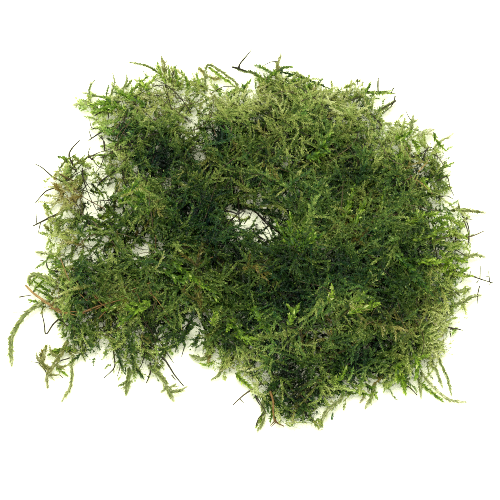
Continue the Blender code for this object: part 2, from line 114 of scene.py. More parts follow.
TANGLE_SEED = 7
LUMP_SEED = 3
FROND_SEED = 11

# The tone map: 32 by 32 cells, tone runs across from dark to lime, warmth up from cool to brown in the
# leaves' rows, and the stems have a row each
CELLS = 32
LEAF_ROWS = 28
LEAF_STEM_ROW = 28
BARE_STEM_ROW = 29
RUSTY_STEM_ROW = 30
UV_NAME = "OFBake"


def plan(points, height):
    """Places at this height that are seen at these pixels of the photograph."""
    points = np.asarray(points, float)
    height = np.broadcast_to(height, points.shape[:-1])
    across = (points[..., 0] - MIDDLE_PX[0]) * PER_PX
    up_the_picture = (MIDDLE_PX[1] - points[..., 1]) * PER_PX
    away = (up_the_picture - height * math.cos(VIEW_ELEVATION)) / math.sin(VIEW_ELEVATION)
    return np.stack([across, away, height], -1)


def pixels(places):
    """The pixels of the photograph at which these places are seen."""
    up_the_picture = places[..., 1] * math.sin(VIEW_ELEVATION) + places[..., 2] * math.cos(VIEW_ELEVATION)
    return MIDDLE_PX[0] + places[..., 0] / PER_PX, MIDDLE_PX[1] - up_the_picture / PER_PX


def unit(vectors):
    return vectors / np.maximum(np.linalg.norm(vectors, axis=-1, keepdims=True), 1e-12)


def drifting(rng, cell, span=0.2):
    """A smooth random field over the plan, from -1 to 1, that changes over about a cell's length."""
    count = int(span / cell) + 4
    values = rng.uniform(-1, 1, (count, count))

    def at(x, y):
        column = np.clip((x + span / 2) / cell, 0, count - 2.001)
        row = np.clip((y + span / 2) / cell, 0, count - 2.001)
        i, j = column.astype(int), row.astype(int)
        s, t = column - i, row - j
        s, t = s * s * (3 - 2 * s), t * t * (3 - 2 * t)
        low = values[j, i] * (1 - s) + values[j, i + 1] * s
        high = values[j + 1, i] * (1 - s) + values[j + 1, i + 1] * s
        return low * (1 - t) + high * t

    return at


class Form:
    """The mat's form on a grid: heights of its top and underside, and the ways to its rim and gaps."""

    def __init__(self, node):
        low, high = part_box(node.name)
        self.low = np.array(low[:2]) - FORM_MARGIN
        counts = ((np.array(high[:2]) + FORM_MARGIN - self.low) / GRID_STEP).astype(int) + 1
        self.columns, self.rows = counts
        mesh = node.data
        tree = BVHTree.FromPolygons([v.co for v in mesh.vertices], [p.vertices for p in mesh.polygons])
        top = np.full((self.rows, self.columns), np.nan)
        under = top.copy()
        for j in range(self.rows):
            for i in range(self.columns):
                x, y = self.low + GRID_STEP * np.array((i, j))
                hit = tree.ray_cast(Vector((x, y, 1)), Vector((0, 0, -1)))[0]
                if hit is not None:
                    top[j, i] = hit.z
                    under[j, i] = tree.ray_cast(Vector((x, y, -1)), Vector((0, 0, 1)))[0].z
        inside = ~np.isnan(top)
        outer = self.reached_from_border(~inside)
        gap = ~inside & ~outer
        self.to_rim, nearest = self.ways(inside, outer)
        self.to_gap, _ = self.ways(~gap, gap)
        self.top = self.filled(top, inside, nearest)
        self.under = self.filled(under, inside, nearest)
        for _ in range(2):
            self.top = self.blurred(self.top)
        self.lumps = drifting(np.random.default_rng(LUMP_SEED), LUMP_LENGTH)
        self.top += LUMP_HEIGHT * self.lumps(*self.cell_places()) * np.clip(self.to_rim / (6 * MM), 0, 1)
        smooth_way = self.to_rim
        for _ in range(3):
            smooth_way = self.blurred(smooth_way)
        self.inward = np.gradient(smooth_way, GRID_STEP)[::-1]
        self.slope = np.gradient(self.top, GRID_STEP)[::-1]

    @staticmethod
    def reached_from_border(free):
        """The free cells that are joined to the grid's border."""
        reached = np.zeros_like(free)
        reached[0] = reached[-1] = True
        reached[:, 0] = reached[:, -1] = True
        while True:
            grown = reached.copy()
            grown[1:] |= reached[:-1]
            grown[:-1] |= reached[1:]
            grown[:, 1:] |= reached[:, :-1]
            grown[:, :-1] |= reached[:, 1:]
            grown &= free
            if (grown == reached).all():
                return reached
            reached = grown

    @staticmethod
    def ways(inside, outside):
        """Each cell's way to the nearest cell of the other kind, less than 0 outside, and that cell."""
        way = np.zeros(inside.shape)
        nearest = np.zeros((*inside.shape, 2), int)
        for cells, others, sign in ((inside, outside, 1), (outside, inside, -1)):
            places = np.argwhere(others)
            tree = KDTree(len(places))
            for i, place in enumerate(places):
                tree.insert((*place, 0), i)
            tree.balance()
            for cell in np.argwhere(cells):
                _, i, distance = tree.find((*cell, 0))
                way[tuple(cell)] = sign * (distance - 0.5) * GRID_STEP
                nearest[tuple(cell)] = places[i]
        return way, nearest

    @staticmethod
    def filled(values, inside, nearest):
        """Values carried outwards from the nearest cell inside."""
        j, i = nearest[..., 0], nearest[..., 1]
        carried = values[j, i]
        carried = np.where(np.isnan(carried), np.nanmean(values), carried)
        return np.where(inside, values, carried)

    @staticmethod
    def blurred(values):
        padded = np.pad(values, 1, mode="edge")
        rows = padded[:-2] + 2 * padded[1:-1] + padded[2:]
        return (rows[:, :-2] + 2 * rows[:, 1:-1] + rows[:, 2:]) / 16

    def read(self, grid, x, y):
        """A grid's values at these places, from the four cells around each."""
        column = np.clip((x - self.low[0]) / GRID_STEP, 0, self.columns - 1.001)
        row = np.clip((y - self.low[1]) / GRID_STEP, 0, self.rows - 1.001)
        i, j = column.astype(int), row.astype(int)
        s, t = column - i, row - j
        low = grid[j, i] * (1 - s) + grid[j, i + 1] * s
        high = grid[j + 1, i] * (1 - s) + grid[j + 1, i + 1] * s
        return low * (1 - t) + high * t

    def cell_places(self):
        """The plan places of all the grid's cells."""
        x = self.low[0] + GRID_STEP * np.arange(self.columns)
        y = self.low[1] + GRID_STEP * np.arange(self.rows)
        return np.meshgrid(x, y)


Spot = namedtuple("Spot", "middle radius amount")
Window = namedtuple("Window", "middle half_length half_width share")

# Where the table shows between the shoots: pixels, and the share of the leaves that is missing there
WINDOWS = (
    Window((229, 209), 7, 4, 0.85), Window((245, 211), 5, 3, 0.75), Window((237, 221), 5, 2, 0.6),
    Window((262, 222), 6, 4, 0.85), Window((272, 232), 5, 3, 0.75), Window((236, 231), 3, 3, 0.8),
    Window((237, 190), 3, 5, 0.8), Window((87, 186), 6, 5, 0.9), Window((110, 187), 3, 2, 0.6),
    Window((97, 168), 8, 6, 0.85), Window((93, 199), 6, 4, 0.8), Window((88, 212), 3, 3, 0.6),
    Window((120, 163), 4, 6, 0.9), Window((71, 234), 3, 2, 0.5), Window((91, 245), 4, 2, 0.5),
    Window((141, 248), 9, 5, 0.88), Window((161, 245), 4, 5, 0.85), Window((165, 184), 5, 4, 0.8),
    Window((199, 152), 6, 7, 0.7), Window((187, 126), 5, 4, 0.85), Window((143, 90), 4, 3, 0.9),
    Window((163, 82), 4, 4, 0.9), Window((132, 98), 5, 3, 0.85), Window((121, 97), 4, 2, 0.8),
    Window((117, 176), 5, 4, 0.85), Window((442, 216), 5, 5, 0.85), Window((344, 88), 5, 3, 0.8),
    Window((334, 116), 4, 2, 0.6), Window((197, 100), 4, 3, 0.8), Window((112, 352), 5, 4, 0.8),
    Window((215, 356), 6, 3, 0.8), Window((238, 362), 6, 3, 0.8), Window((198, 350), 5, 4, 0.8),
    Window((141, 360), 5, 5, 0.8), Window((115, 117), 4, 2, 0.8), Window((102, 98), 7, 2, 0.8),
    Window((176, 107), 4, 3, 0.8), Window((229, 99), 4, 2, 0.6), Window((214, 92), 3, 2, 0.7),
    Window((378, 102), 6, 4, 0.85), Window((389, 100), 4, 5, 0.85), Window((375, 111), 5, 3, 0.8),
    Window((421, 149), 6, 3, 0.8), Window((429, 155), 3, 2, 0.7), Window((414, 161), 3, 2, 0.8),
    Window((442, 194), 3, 2, 0.7), Window((446, 206), 4, 4, 0.9), Window((341, 232), 2, 2, 0.8),
    Window((292, 244), 3, 2, 0.7), Window((192, 318), 3, 4, 0.6), Window((141, 366), 7, 5, 0.8),
    Window((105, 343), 5, 7, 0.9), Window((254, 213), 4, 3, 0.8), Window((260, 385), 3, 5, 0.8),
    Window((328, 397), 5, 3, 0.6), Window((456, 262), 4, 3, 0.8), Window((462, 238), 3, 8, 0.85),
    Window((211, 137), 4, 3, 0.7), Window((397, 148), 4, 3, 0.6),
)
# Where only the leaves are missing and bare strands cross the gap
CLEARED = (
    Window((155, 80), 13, 9, 0.92), Window((163, 82), 5, 5, 0.97), Window((180, 98), 10, 7, 0.9),
    Window((178, 92), 6, 4, 0.95), Window((103, 174), 6, 5, 0.97), Window((55, 240), 7, 6, 0.9),
    Window((199, 157), 7, 6, 0.99), Window((240, 238), 4, 3, 0.95), Window((441, 157), 8, 6, 0.97),
    Window((458, 313), 6, 6, 0.98), Window((97, 353), 9, 6, 0.97), Window((113, 360), 6, 6, 0.96),
    Window((147, 366), 6, 8, 0.97), Window((196, 324), 7, 9, 0.9), Window((255, 406), 6, 6, 0.98),
    Window((322, 412), 13, 7, 0.98), Window((112, 139), 9, 6, 0.94), Window((68, 194), 7, 5, 0.8),
    Window((93, 208), 5, 4, 0.8), Window((47, 288), 5, 8, 0.8), Window((130, 90), 8, 4, 0.8),
    Window((228, 372), 8, 5, 0.9), Window((66, 341), 6, 5, 0.9), Window((153, 375), 8, 8, 0.93),
    Window((448, 342), 6, 16, 0.9), Window((426, 152), 8, 4, 0.85), Window((338, 398), 8, 5, 0.9),
    Window((43, 275), 7, 9, 0.98), Window((48, 304), 5, 5, 0.9), Window((92, 178), 6, 4, 0.85),
    Window((136, 170), 4, 5, 0.95), Window((168, 182), 4, 6, 0.9), Window((124, 134), 5, 4, 0.93),
    Window((459, 322), 6, 6, 0.98), Window((115, 355), 7, 6, 0.96), Window((266, 376), 5, 7, 0.88),
)
# Where the rim is bare of loose tips
TRIMMED = (
    Window((303, 428), 18, 6, 0.97), Window((57, 341), 6, 9, 0.97), Window((103, 141), 6, 5, 0.9),
    Window((247, 381), 7, 5, 0.9), Window((146, 380), 6, 6, 0.8), Window((215, 366), 6, 5, 0.8),
    Window((389, 115), 5, 7, 0.9), Window((468, 240), 4, 10, 0.9), Window((459, 205), 5, 4, 0.9),
    Window((82, 356), 7, 4, 0.8),
)
# Where the tangle is a loose single layer
LOOSE_SPOTS = (
    Spot((98, 195), 40, 0.75), Spot((118, 105), 34, 0.55), Spot((175, 95), 30, 0.45),
    Spot((70, 225), 26, 0.35), Spot((215, 92), 22, 0.35), Spot((105, 250), 26, 0.35),
    Spot((415, 150), 26, 0.35), Spot((450, 240), 24, 0.30), Spot((135, 340), 30, 0.30),
)
# Broad areas where the moss looks lighter in the photo: pixels, and the change of tone
# These spots paint light into the leaves' colour, along with the moss's own paler tone there
LIGHT_AREAS = (
    Spot((157, 78), 18, 0.6), Spot((103, 102), 26, 0.4), Spot((184, 102), 26, 0.3),
    Spot((114, 145), 16, 0.4), Spot((240, 96), 24, 0.3), Spot((295, 94), 18, 0.3),
    Spot((342, 106), 26, 0.3), Spot((400, 134), 24, 0.4), Spot((300, 156), 24, 0.3),
    Spot((70, 190), 26, 0.3), Spot((136, 182), 24, 0.3), Spot((58, 234), 20, 0.2),
    Spot((48, 290), 18, 0.3), Spot((350, 308), 20, 0.4), Spot((448, 318), 24, 0.3),
    Spot((436, 354), 20, 0.3), Spot((310, 344), 16, 0.3), Spot((366, 376), 16, 0.4),
    Spot((230, 358), 20, 0.2), Spot((284, 412), 16, 0.3),
)
# Broad areas where it looks darker
# These spots paint shade into the leaves' colour, as in the hollows, along with the moss's own darker tone
# there
DARK_AREAS = (
    Spot((118, 126), 14, -0.5), Spot((162, 150), 20, -0.4), Spot((220, 126), 14, -0.4),
    Spot((206, 208), 26, -0.3), Spot((352, 174), 18, -0.2), Spot((104, 216), 20, -0.2),
    Spot((212, 258), 24, -0.3), Spot((284, 258), 24, -0.3), Spot((412, 252), 26, -0.3),
    Spot((334, 278), 22, -0.3), Spot((290, 300), 24, -0.4), Spot((376, 300), 26, -0.4),
    Spot((80, 272), 16, -0.3), Spot((90, 320), 24, -0.3), Spot((166, 324), 28, -0.3),
    Spot((234, 334), 20, -0.5), Spot((200, 336), 16, -0.3), Spot((298, 368), 24, -0.4),
    Spot((358, 360), 24, -0.4), Spot((292, 396), 22, -0.3),
)
# Where rusty stems lie between the shoots
RUSTY_SPOTS = (
    Spot((115, 298), 34, 1.0), Spot((75, 190), 26, 0.6), Spot((275, 405), 14, 0.5),
)
# Where the growth is older and brown, and below 0 bluish, which is painted shade in the dark hollows: pixels,
# and the change of warmth
BROWN_AND_BLUE_SHADE_SPOTS = (
    Spot((70, 188), 26, 0.5), Spot((118, 300), 26, 0.3), Spot((368, 205), 18, 0.3),
    Spot((278, 130), 18, 0.1), Spot((430, 300), 20, 0.1), Spot((270, 405), 14, 0.2),
    Spot((202, 212), 26, -0.3), Spot((284, 298), 24, -0.3), Spot((162, 150), 20, -0.3),
    Spot((220, 126), 16, -0.3), Spot((118, 126), 16, -0.3), Spot((358, 362), 22, -0.2),
)


def spotted(spots, height):
    """A field over the plan that adds up the amounts of soft round spots."""
    places = plan([spot.middle for spot in spots], height)
    radii = np.array([spot.radius for spot in spots]) * PER_PX
    amounts = np.array([spot.amount for spot in spots])

    def at(x, y):
        total = np.zeros(np.shape(x))
        for place, radius, amount in zip(places, radii, amounts):
            near = ((x - place[0]) ** 2 + (y - place[1]) ** 2) / radius**2
            total += amount * np.exp(-near)
        return total

    return at


# Shoots: paths from base to tip, the way that each one's flat side faces, and each one's tone, warmth
# and leaf size, a share of the largest
Shoots = namedtuple("Shoots", "paths ups tones warmths sizes")


def chosen(shoots, keep):
    return Shoots(*(values[keep] for values in shoots))


def path_lengths(paths):
    return np.linalg.norm(np.diff(paths, axis=1), axis=2).sum(1)


def along(paths, owners, shares):
    """Places and directions at these shares of the owners' paths."""
    last = paths.shape[1] - 1
    place = np.clip(shares, 0, 1) * last
    i = np.minimum(place.astype(int), last - 1)
    t = (place - i)[:, None]
    start, end = paths[owners, i], paths[owners, i + 1]
    before, after = paths[owners, np.maximum(i - 1, 0)], paths[owners, np.minimum(i + 2, last)]
    direction = (1 - t) * (end - before) + t * (after - start)
    return start * (1 - t) + end * t, unit(direction)


def smoothed_along(values, times):
    """Values along paths, evened out, with their ends kept in line."""
    for _ in range(times):
        padded = np.concatenate([values[:, :1], values, values[:, -1:]], 1)
        values = (padded[:, :-2] + padded[:, 1:-1] + padded[:, 2:]) / 3
    return values


def drawn_places(form, weights, count, rng):
    """Random plan places, as many in each cell of the form's grid as its weight says."""
    flat = weights.ravel() / weights.sum()
    cells = rng.choice(len(flat), count, p=flat)
    rows, columns = np.divmod(cells, form.columns)
    places = form.low + GRID_STEP * np.stack([columns, rows], 1)
    return places + rng.uniform(-0.5, 0.5, (count, 2)) * GRID_STEP


def grown_back(tips, headings, lengths, bend, rng):
    """Plan paths that lead back from their tips and turn gently, base first."""
    paths = np.empty((len(tips), STRAND_POINTS, 2))
    step = lengths / (STRAND_POINTS - 1)
    turn = rng.normal(0, bend, len(tips))
    place = tips
    heading = headings
    for i in reversed(range(STRAND_POINTS)):
        paths[:, i] = place
        turn = 0.85 * turn + 0.5 * rng.normal(0, bend, len(tips))
        heading = heading + turn * step
        place = place + step[:, None] * np.stack([np.cos(heading), np.sin(heading)], 1)
    return paths


Layer = namedtuple(
    "Layer", "name strands shortest longest bend leaves_per_mm leaf_size shoot_gap shape borders"
)


class Tangle:
    """Grows the mat's shoots inside its form."""

    def __init__(self, form, seed):
        self.form = form
        self.rng = np.random.default_rng(seed)
        self.clearing_rng = np.random.default_rng(seed + 1)
        self.lie = drifting(self.rng, LIE_LENGTH)
        self.patches = drifting(self.rng, PATCH_LENGTH)
        self.specks = drifting(self.rng, SPECK_LENGTH)
        self.old = drifting(self.rng, AGE_LENGTH)
        self.frayed = drifting(self.rng, FRAY_LENGTH)
        self.lace = drifting(self.rng, LACE_LENGTH)
        self.loose = spotted(LOOSE_SPOTS, LOW_TOP)
        # Painted light and shade in broad spots, along with the moss's own tone there
        self.tone_spots = spotted(LIGHT_AREAS + DARK_AREAS, HIGH_TOP)
        self.brown_and_blue_shade_spots = spotted(BROWN_AND_BLUE_SHADE_SPOTS, HIGH_TOP)

    def fits(self, paths, reach):
        """Whether each path keeps to the form: at most reach past the rim, and out of the gaps."""
        x, y = paths[..., 0], paths[..., 1]
        past_rim = -self.form.read(self.form.to_rim, x, y).min(1)
        past_gap = -self.form.read(self.form.to_gap, x, y).min(1)
        places = np.stack([x, y, self.form.read(self.form.top, x, y)], -1)
        crowded = self.rng.random(len(paths)) > 0.6 * self.missing(places).max(1)
        return (past_rim < reach) & (past_gap < 0.4 * MM) & crowded

    def missing(self, places, windows=WINDOWS + TRIMMED):
        """The share of the growth that the windows leave out at these places, with frayed edges."""
        x, y = pixels(places)
        border = 0.8 + 0.7 * self.frayed(places[..., 0], places[..., 1])
        found = np.zeros(x.shape)
        for window in windows:
            across = (x - window.middle[0]) / window.half_length
            along_it = (y - window.middle[1]) / window.half_width
            found = np.where(across**2 + along_it**2 < border, np.maximum(found, window.share), found)
        return np.maximum(found, np.where(self.is_open(places, x, y), LACE_SHARE, 0.0))

    def is_open(self, places, x, y):
        """Whether a small hole of the lacy growth is here: many near the rim, few in the middle."""
        to_rim = np.maximum(self.form.read(self.form.to_rim, places[..., 0], places[..., 1]), 0)
        openness = 0.65 * np.exp(-to_rim / (5 * MM)) + 0.45 * self.loose(places[..., 0], places[..., 1])
        return self.lace((x - MIDDLE_PX[0]) * PER_PX, (MIDDLE_PX[1] - y) * PER_PX) > 0.80 - 0.62 * openness

    def strand_plans(self, layer, weights, is_fringe):
        """Plan paths for a layer's strands."""
        form, rng = self.form, self.rng
        kept = []
        found = 0
        while found < layer.strands:
            count = 2 * layer.strands
            tips = drawn_places(form, weights, count, rng)
            x, y = tips.T
            inward = np.arctan2(form.read(form.inward[1], x, y), form.read(form.inward[0], x, y))
            if is_fringe:
                heading = inward + rng.normal(0, 0.7, count)
            else:
                heading = 2.2 * math.pi * self.lie(x, y) + rng.normal(0, 0.8, count)
                near_rim = np.exp(-np.maximum(form.read(form.to_rim, x, y), 0) / (12 * MM))
                outward_tip = rng.random(count) < 0.15 + 0.6 * near_rim
                heading = np.where(outward_tip, inward + rng.normal(0, 0.9, count), heading)
            lengths = rng.uniform(layer.shortest, layer.longest, count)
            paths = grown_back(tips, heading, lengths, layer.bend, rng)
            reach = np.maximum(-form.read(form.to_rim, x, y), 0) + 0.6 * MM
            good = paths[self.fits(paths, reach)]
            kept.append(good)
            found += len(good)
        return np.concatenate(kept)[: layer.strands]

    def raised(self, plans, depths, lifts):
        """Paths in space: below the top by depth, evened out, with tips that lift."""
        form, rng = self.form, self.rng
        x, y = plans[..., 0], plans[..., 1]
        top = form.read(form.top, x, y)
        under = form.read(form.under, x, y)
        height = np.maximum(top - depths[:, None], under + 0.4 * MM)
        height = smoothed_along(height, 2)
        share = np.linspace(0, 1, plans.shape[1])
        height = height + lifts[:, None] * share**2.2
        weave = rng.uniform(0, 2 * math.pi, len(plans))[:, None]
        height = height + 0.5 * MM * np.sin(weave + 9 * share)
        past_rim = np.maximum(-form.read(form.to_rim, x, y), 0)
        height = height - 0.35 * past_rim
        height = np.maximum(height, 0.5 * MM)
        return np.concatenate([plans, height[..., None]], -1)

    def on_top(self, points, lift):
        """Places that are seen at these pixels, this far above the tangle's top."""
        places = plan(points, LOW_TOP)
        for _ in range(4):
            places = plan(points, self.form.read(self.form.top, places[:, 0], places[:, 1]) + lift)
        return places

    def facings(self, paths, scatter):
        """The way that each strand's flat side faces: off the top, with some scatter."""
        middle = paths[:, paths.shape[1] // 2]
        slope_x = self.form.read(self.form.slope[0], middle[:, 0], middle[:, 1])
        slope_y = self.form.read(self.form.slope[1], middle[:, 0], middle[:, 1])
        off_top = np.stack([-0.6 * slope_x, -0.6 * slope_y, np.ones(len(paths))], -1)
        return unit(unit(off_top) + self.rng.normal(0, scatter, off_top.shape))

    def tone_with_painted_light_at(self, places):
        """How light the growth is at these places: painted light near the top, on the lumps and at the rim,
        painted shade deeper down, spots of painted light and shade with the moss's own tone, and random
        patches and specks.
        """
        x, y, z = places.T
        depth = np.maximum(self.form.read(self.form.top, x, y) - z, 0)
        to_rim = np.maximum(self.form.read(self.form.to_rim, x, y), 0)
        # Painted light near the top and at the rim, painted shade deeper in the tangle
        tone = 0.10 + 0.36 * np.exp(-depth / (1.3 * MM)) + 0.50 * np.exp(-to_rim / (6.5 * MM))
        tone += 0.05 * self.patches(x, y) + 0.07 * self.specks(x, y) + 0.95 * self.tone_spots(x, y)
        # Painted light on the tops of the lumps
        return tone + 0.05 * self.form.lumps(x, y)

    def warmth_at(self, places):
        x, y, _ = places.T
        return 0.40 + 0.10 * self.old(x, y) + 0.7 * self.brown_and_blue_shade_spots(x, y)

    def leaves(self, shoots, per_mm):
        """The leaves of shoots, each in the tone of its own place, painted light and shade included."""
        found = leaves_along(shoots, per_mm, self.rng)
        middles = found.bases + 0.5 * found.lengths[:, None] * found.directions
        keep = self.rng.random(len(middles)) > self.missing(middles, WINDOWS + TRIMMED + CLEARED)
        found = Leaves(*(values[keep] for values in found))
        tones = found.tones + self.tone_with_painted_light_at(middles[keep])
        tones = np.where(tones > PALE, PALE + 0.35 * (tones - PALE), tones)
        return found._replace(tones=tones, warmths=found.warmths + self.warmth_at(middles[keep]))

    def stem_toned(self, shoots):
        """The shoots that keep their stems, in the tone of the place where their middle lies, painted light
        and shade included.
        """
        middles = shoots.paths[:, shoots.paths.shape[1] // 2]
        keep = self.clearing_rng.random(len(middles)) > self.missing(middles, CLEARED)
        shoots, middles = chosen(shoots, keep), middles[keep]
        return shoots._replace(tones=np.minimum(shoots.tones + self.tone_with_painted_light_at(middles), PALE))

    def grow(self, layer, weights, depths, lifts, scatter, is_fringe=False):
        """A layer's strands and their side shoots."""
        plans = self.strand_plans(layer, weights, is_fringe)
        paths = self.raised(plans, depths, lifts)
        tones = self.rng.normal(0, 0.12, len(paths))
        warmths = self.rng.normal(0, 0.09, len(paths)) + np.where(self.rng.random(len(paths)) < 0.06, 0.35, 0)
        sizes = np.clip(self.rng.normal(1.0, 0.17, len(paths)), 0.6, 1.4) * layer.leaf_size
        strands = Shoots(paths, self.facings(paths, scatter), tones, warmths, sizes)
        sides = side_shoots(strands, layer.shoot_gap, self.rng)
        tips = sides.paths[:, -1]
        past_rim = -self.form.read(self.form.to_rim, tips[:, 0], tips[:, 1])
        past_gap = -self.form.read(self.form.to_gap, tips[:, 0], tips[:, 1])
        bold = self.rng.random(len(tips)) < 0.05
        seen = self.rng.random(len(tips)) > 0.8 * self.missing(sides.paths[:, SIDE_POINTS // 2])
        fits = (past_rim < self.rng.uniform(0.0, 1.8, len(tips)) * MM) & ((past_gap < 0.3 * MM) | bold)
        return strands, chosen(sides, fits & seen)


def side_shoots(strands, gap, rng, longest=7.0 * MM):
    """The side shoots of strands: they leave at an angle to left and right and bend."""
    lengths = path_lengths(strands.paths)
    counts = np.maximum((0.85 * lengths / gap).astype(int), 1)
    owners = np.repeat(np.arange(len(counts)), counts)
    order = np.concatenate([np.arange(n) for n in counts])
    count = len(order)
    shares = 0.06 + 0.86 * (order + rng.uniform(0.0, 1.0, count)) / counts[owners]
    side = np.where((order + owners + (rng.random(count) < 0.2)) % 2, 1.0, -1.0)[:, None]
    base, tangent = along(strands.paths, owners, shares)
    up = strands.ups[owners]
    across = side * unit(np.cross(tangent, up))
    angle = np.radians(rng.normal(50, 12, count))[:, None]
    direction = tangent * np.cos(angle) + across * np.sin(angle)
    sideways = unit(np.cross(up, direction)) * rng.normal(0, 0.42, count)[:, None]
    length = rng.gamma(4.0, 0.14, count) * (1.15 - 0.75 * shares) * longest
    length = np.clip(length, 0.14 * longest, longest)
    t = np.linspace(0, 1, SIDE_POINTS)[None, :, None]
    lift = rng.normal(0.04, 0.18, count)
    curl = rng.normal(0.0, 0.16, count)
    offset = (
        direction[:, None] * t
        + (0.15 * tangent + sideways)[:, None] * t**2
        + up[:, None] * (lift[:, None, None] * t + curl[:, None, None] * t**2)
    )
    paths = base[:, None] + length[:, None, None] * offset
    paths[..., 2] = np.maximum(paths[..., 2], 0.4 * MM)
    tones = strands.tones[owners] + rng.normal(0.03, 0.05, count)
    warmths = strands.warmths[owners] + rng.normal(0, 0.04, count)
    sizes = strands.sizes[owners] * rng.uniform(0.65, 0.85, count)
    return Shoots(paths, unit(up + rng.normal(0, 0.15, up.shape)), tones, warmths, sizes)


# Leaves: where each starts, the way it points, the way its upper side faces, its size, tone and warmth
Leaves = namedtuple("Leaves", "bases directions ups lengths widths tones warmths")


def leaves_along(shoots, per_mm, rng, spread=LEAF_SPREAD, closing_length=1.3 * MM, scatter=1.0):
    """The leaves of shoots: two rows to the sides and some above and below, smaller at the tip."""
    lengths = path_lengths(shoots.paths)
    counts = np.maximum((lengths / MM * per_mm * rng.uniform(0.75, 1.15, len(lengths))).astype(int), 4)
    owners = np.repeat(np.arange(len(counts)), counts)
    order = np.concatenate([np.arange(n) for n in counts])
    count = len(order)
    shares = (order + 0.5 + rng.uniform(-0.5, 0.5, count)) / counts[owners]
    base, tangent = along(shoots.paths, owners, shares)
    across = unit(np.cross(tangent, shoots.ups[owners]))
    up = np.cross(across, tangent)
    to_tip = (1 - shares) * lengths[owners]
    closing = np.clip(to_tip / closing_length, 0, 1)
    # Every sixth leaf stands on the upper side and every sixth on the lower
    rank = order % 6
    turn = np.where(rank == 5, 0.5 * math.pi, np.where(rank == 2, -0.5 * math.pi, 0.0))
    turn = turn + rng.normal(0.10, 0.32 * scatter, count)
    side = np.where(order % 2, 1.0, -1.0)[:, None]
    spread = (spread + rng.normal(0, 0.17 * scatter, count)) * (0.5 + 0.5 * closing)
    outward = side * across * np.cos(turn)[:, None] + up * np.sin(turn)[:, None]
    direction = tangent * np.cos(spread)[:, None] + outward * np.sin(spread)[:, None]
    facing = unit(np.cross(np.cross(direction, up + 0.6 * tangent), direction))
    facing = unit(facing + rng.normal(0, 0.25, facing.shape))
    facing = unit(facing - direction * (facing * direction).sum(1, keepdims=True))
    scale = shoots.sizes[owners] * (0.6 + 0.4 * closing) * rng.uniform(0.7, 1.2, count)
    tone = shoots.tones[owners] + 0.12 * (1 - closing) + 0.05 * shares + rng.normal(0, 0.09 * scatter, count)
    # A few leaves are much paler: painted glints of the wet leaves, along with pale dead leaves
    tone = np.where(rng.random(count) < 0.035, tone + 0.4, tone)
    warmth = shoots.warmths[owners] - 0.05 * (1 - closing) + rng.normal(0, 0.05, count)
    return Leaves(base, direction, facing, LEAF_LENGTH * scale, LEAF_WIDTH * scale, tone, warmth)


LeafShape = namedtuple("LeafShape", "corners faces")
# A leaf's corners as shares of its length, its width and its length again for height
BLADE = LeafShape(((0, 0, 0), (0.36, -0.5, 0.08), (0.36, 0.5, 0.08), (1, 0, -0.04)), ((0, 1, 3), (0, 3, 2)))
SPLINTER = LeafShape(((0.04, -0.5, 0), (0.16, 0.5, 0.05), (1, 0, 0)), ((0, 2, 1),))


def cell_corner(tones, warmths):
    """The lower left corner of each leaf's cell on the tone map."""
    column = np.clip((tones * CELLS).astype(int), 0, CELLS - 1)
    row = np.clip((warmths * LEAF_ROWS).astype(int), 0, LEAF_ROWS - 1)
    return np.stack([column, row], -1) / CELLS


def leaf_geometry(leaves, shape):
    """Corners, faces and map places of leaves, each a small blade."""
    corners = np.array(shape.corners)
    faces = np.array(shape.faces)
    side = np.cross(leaves.ups, leaves.directions)
    points = (
        leaves.bases[:, None]
        + corners[None, :, :1] * (leaves.directions * leaves.lengths[:, None])[:, None]
        + corners[None, :, 1:2] * (side * leaves.widths[:, None])[:, None]
        + corners[None, :, 2:] * (leaves.ups * leaves.lengths[:, None])[:, None]
    )
    points[..., 2] = np.maximum(points[..., 2], TABLE_CLEARANCE)
    indices = faces[None] + len(corners) * np.arange(len(points))[:, None, None]
    in_cell = np.stack([0.5 + 0.8 * corners[:, 1], 0.08 + 0.84 * corners[:, 0]], -1) / CELLS
    uv = cell_corner(leaves.tones, leaves.warmths)[:, None] + in_cell[None]
    return points.reshape(-1, 3), indices.reshape(-1, 3), uv[:, faces].reshape(-1, 2)


def stem_geometry(shoots, thickness, sides, row):
    """Corners, faces and map places of the stems of shoots: thin tapering bars, or strips for 2 sides."""
    paths = shoots.paths
    count, points = paths.shape[:2]
    tangent = np.empty_like(paths)
    tangent[:, 1:-1] = paths[:, 2:] - paths[:, :-2]
    tangent[:, 0] = paths[:, 1] - paths[:, 0]
    tangent[:, -1] = paths[:, -1] - paths[:, -2]
    tangent = unit(tangent)
    across = unit(np.cross(tangent, shoots.ups[:, None]))
    up = np.cross(across, tangent)
    taper = np.linspace(1, 0.45, points)[None, :, None]
    radius = np.broadcast_to(np.asarray(thickness) / 2, (count,))[:, None, None] * taper
    angles = 2 * math.pi * np.arange(sides) / sides
    rings = paths[:, :, None] + radius[:, :, None] * (
        np.cos(angles)[:, None] * across[:, :, None] + np.sin(angles)[:, None] * up[:, :, None]
    )
    rings[..., 2] = np.maximum(rings[..., 2], TABLE_CLEARANCE)
    faces = []
    shares = []
    strips = range(1) if sides == 2 else range(sides)
    for i in range(points - 1):
        for k in strips:
            a, b = i * sides + k, i * sides + (k + 1) % sides
            c, d = a + sides, b + sides
            faces += [(a, b, d), (a, d, c)]
            low, high = i / (points - 1), (i + 1) / (points - 1)
            left, right = k / len(strips), (k + 1) / len(strips)
            shares += [[(left, low), (right, low), (right, high)], [(left, low), (right, high), (left, high)]]
    faces = np.array(faces)
    indices = faces[None] + points * sides * np.arange(count)[:, None, None]
    in_cell = (0.08 + 0.84 * np.array(shares)) / CELLS
    column = np.clip((shoots.tones * CELLS).astype(int), 0, CELLS - 1) / CELLS
    corner = np.stack([column, np.full(count, row / CELLS)], -1)
    uv = corner[:, None, None] + in_cell[None]
    return rings.reshape(-1, 3), indices.reshape(-1, 3), uv.reshape(-1, 2)


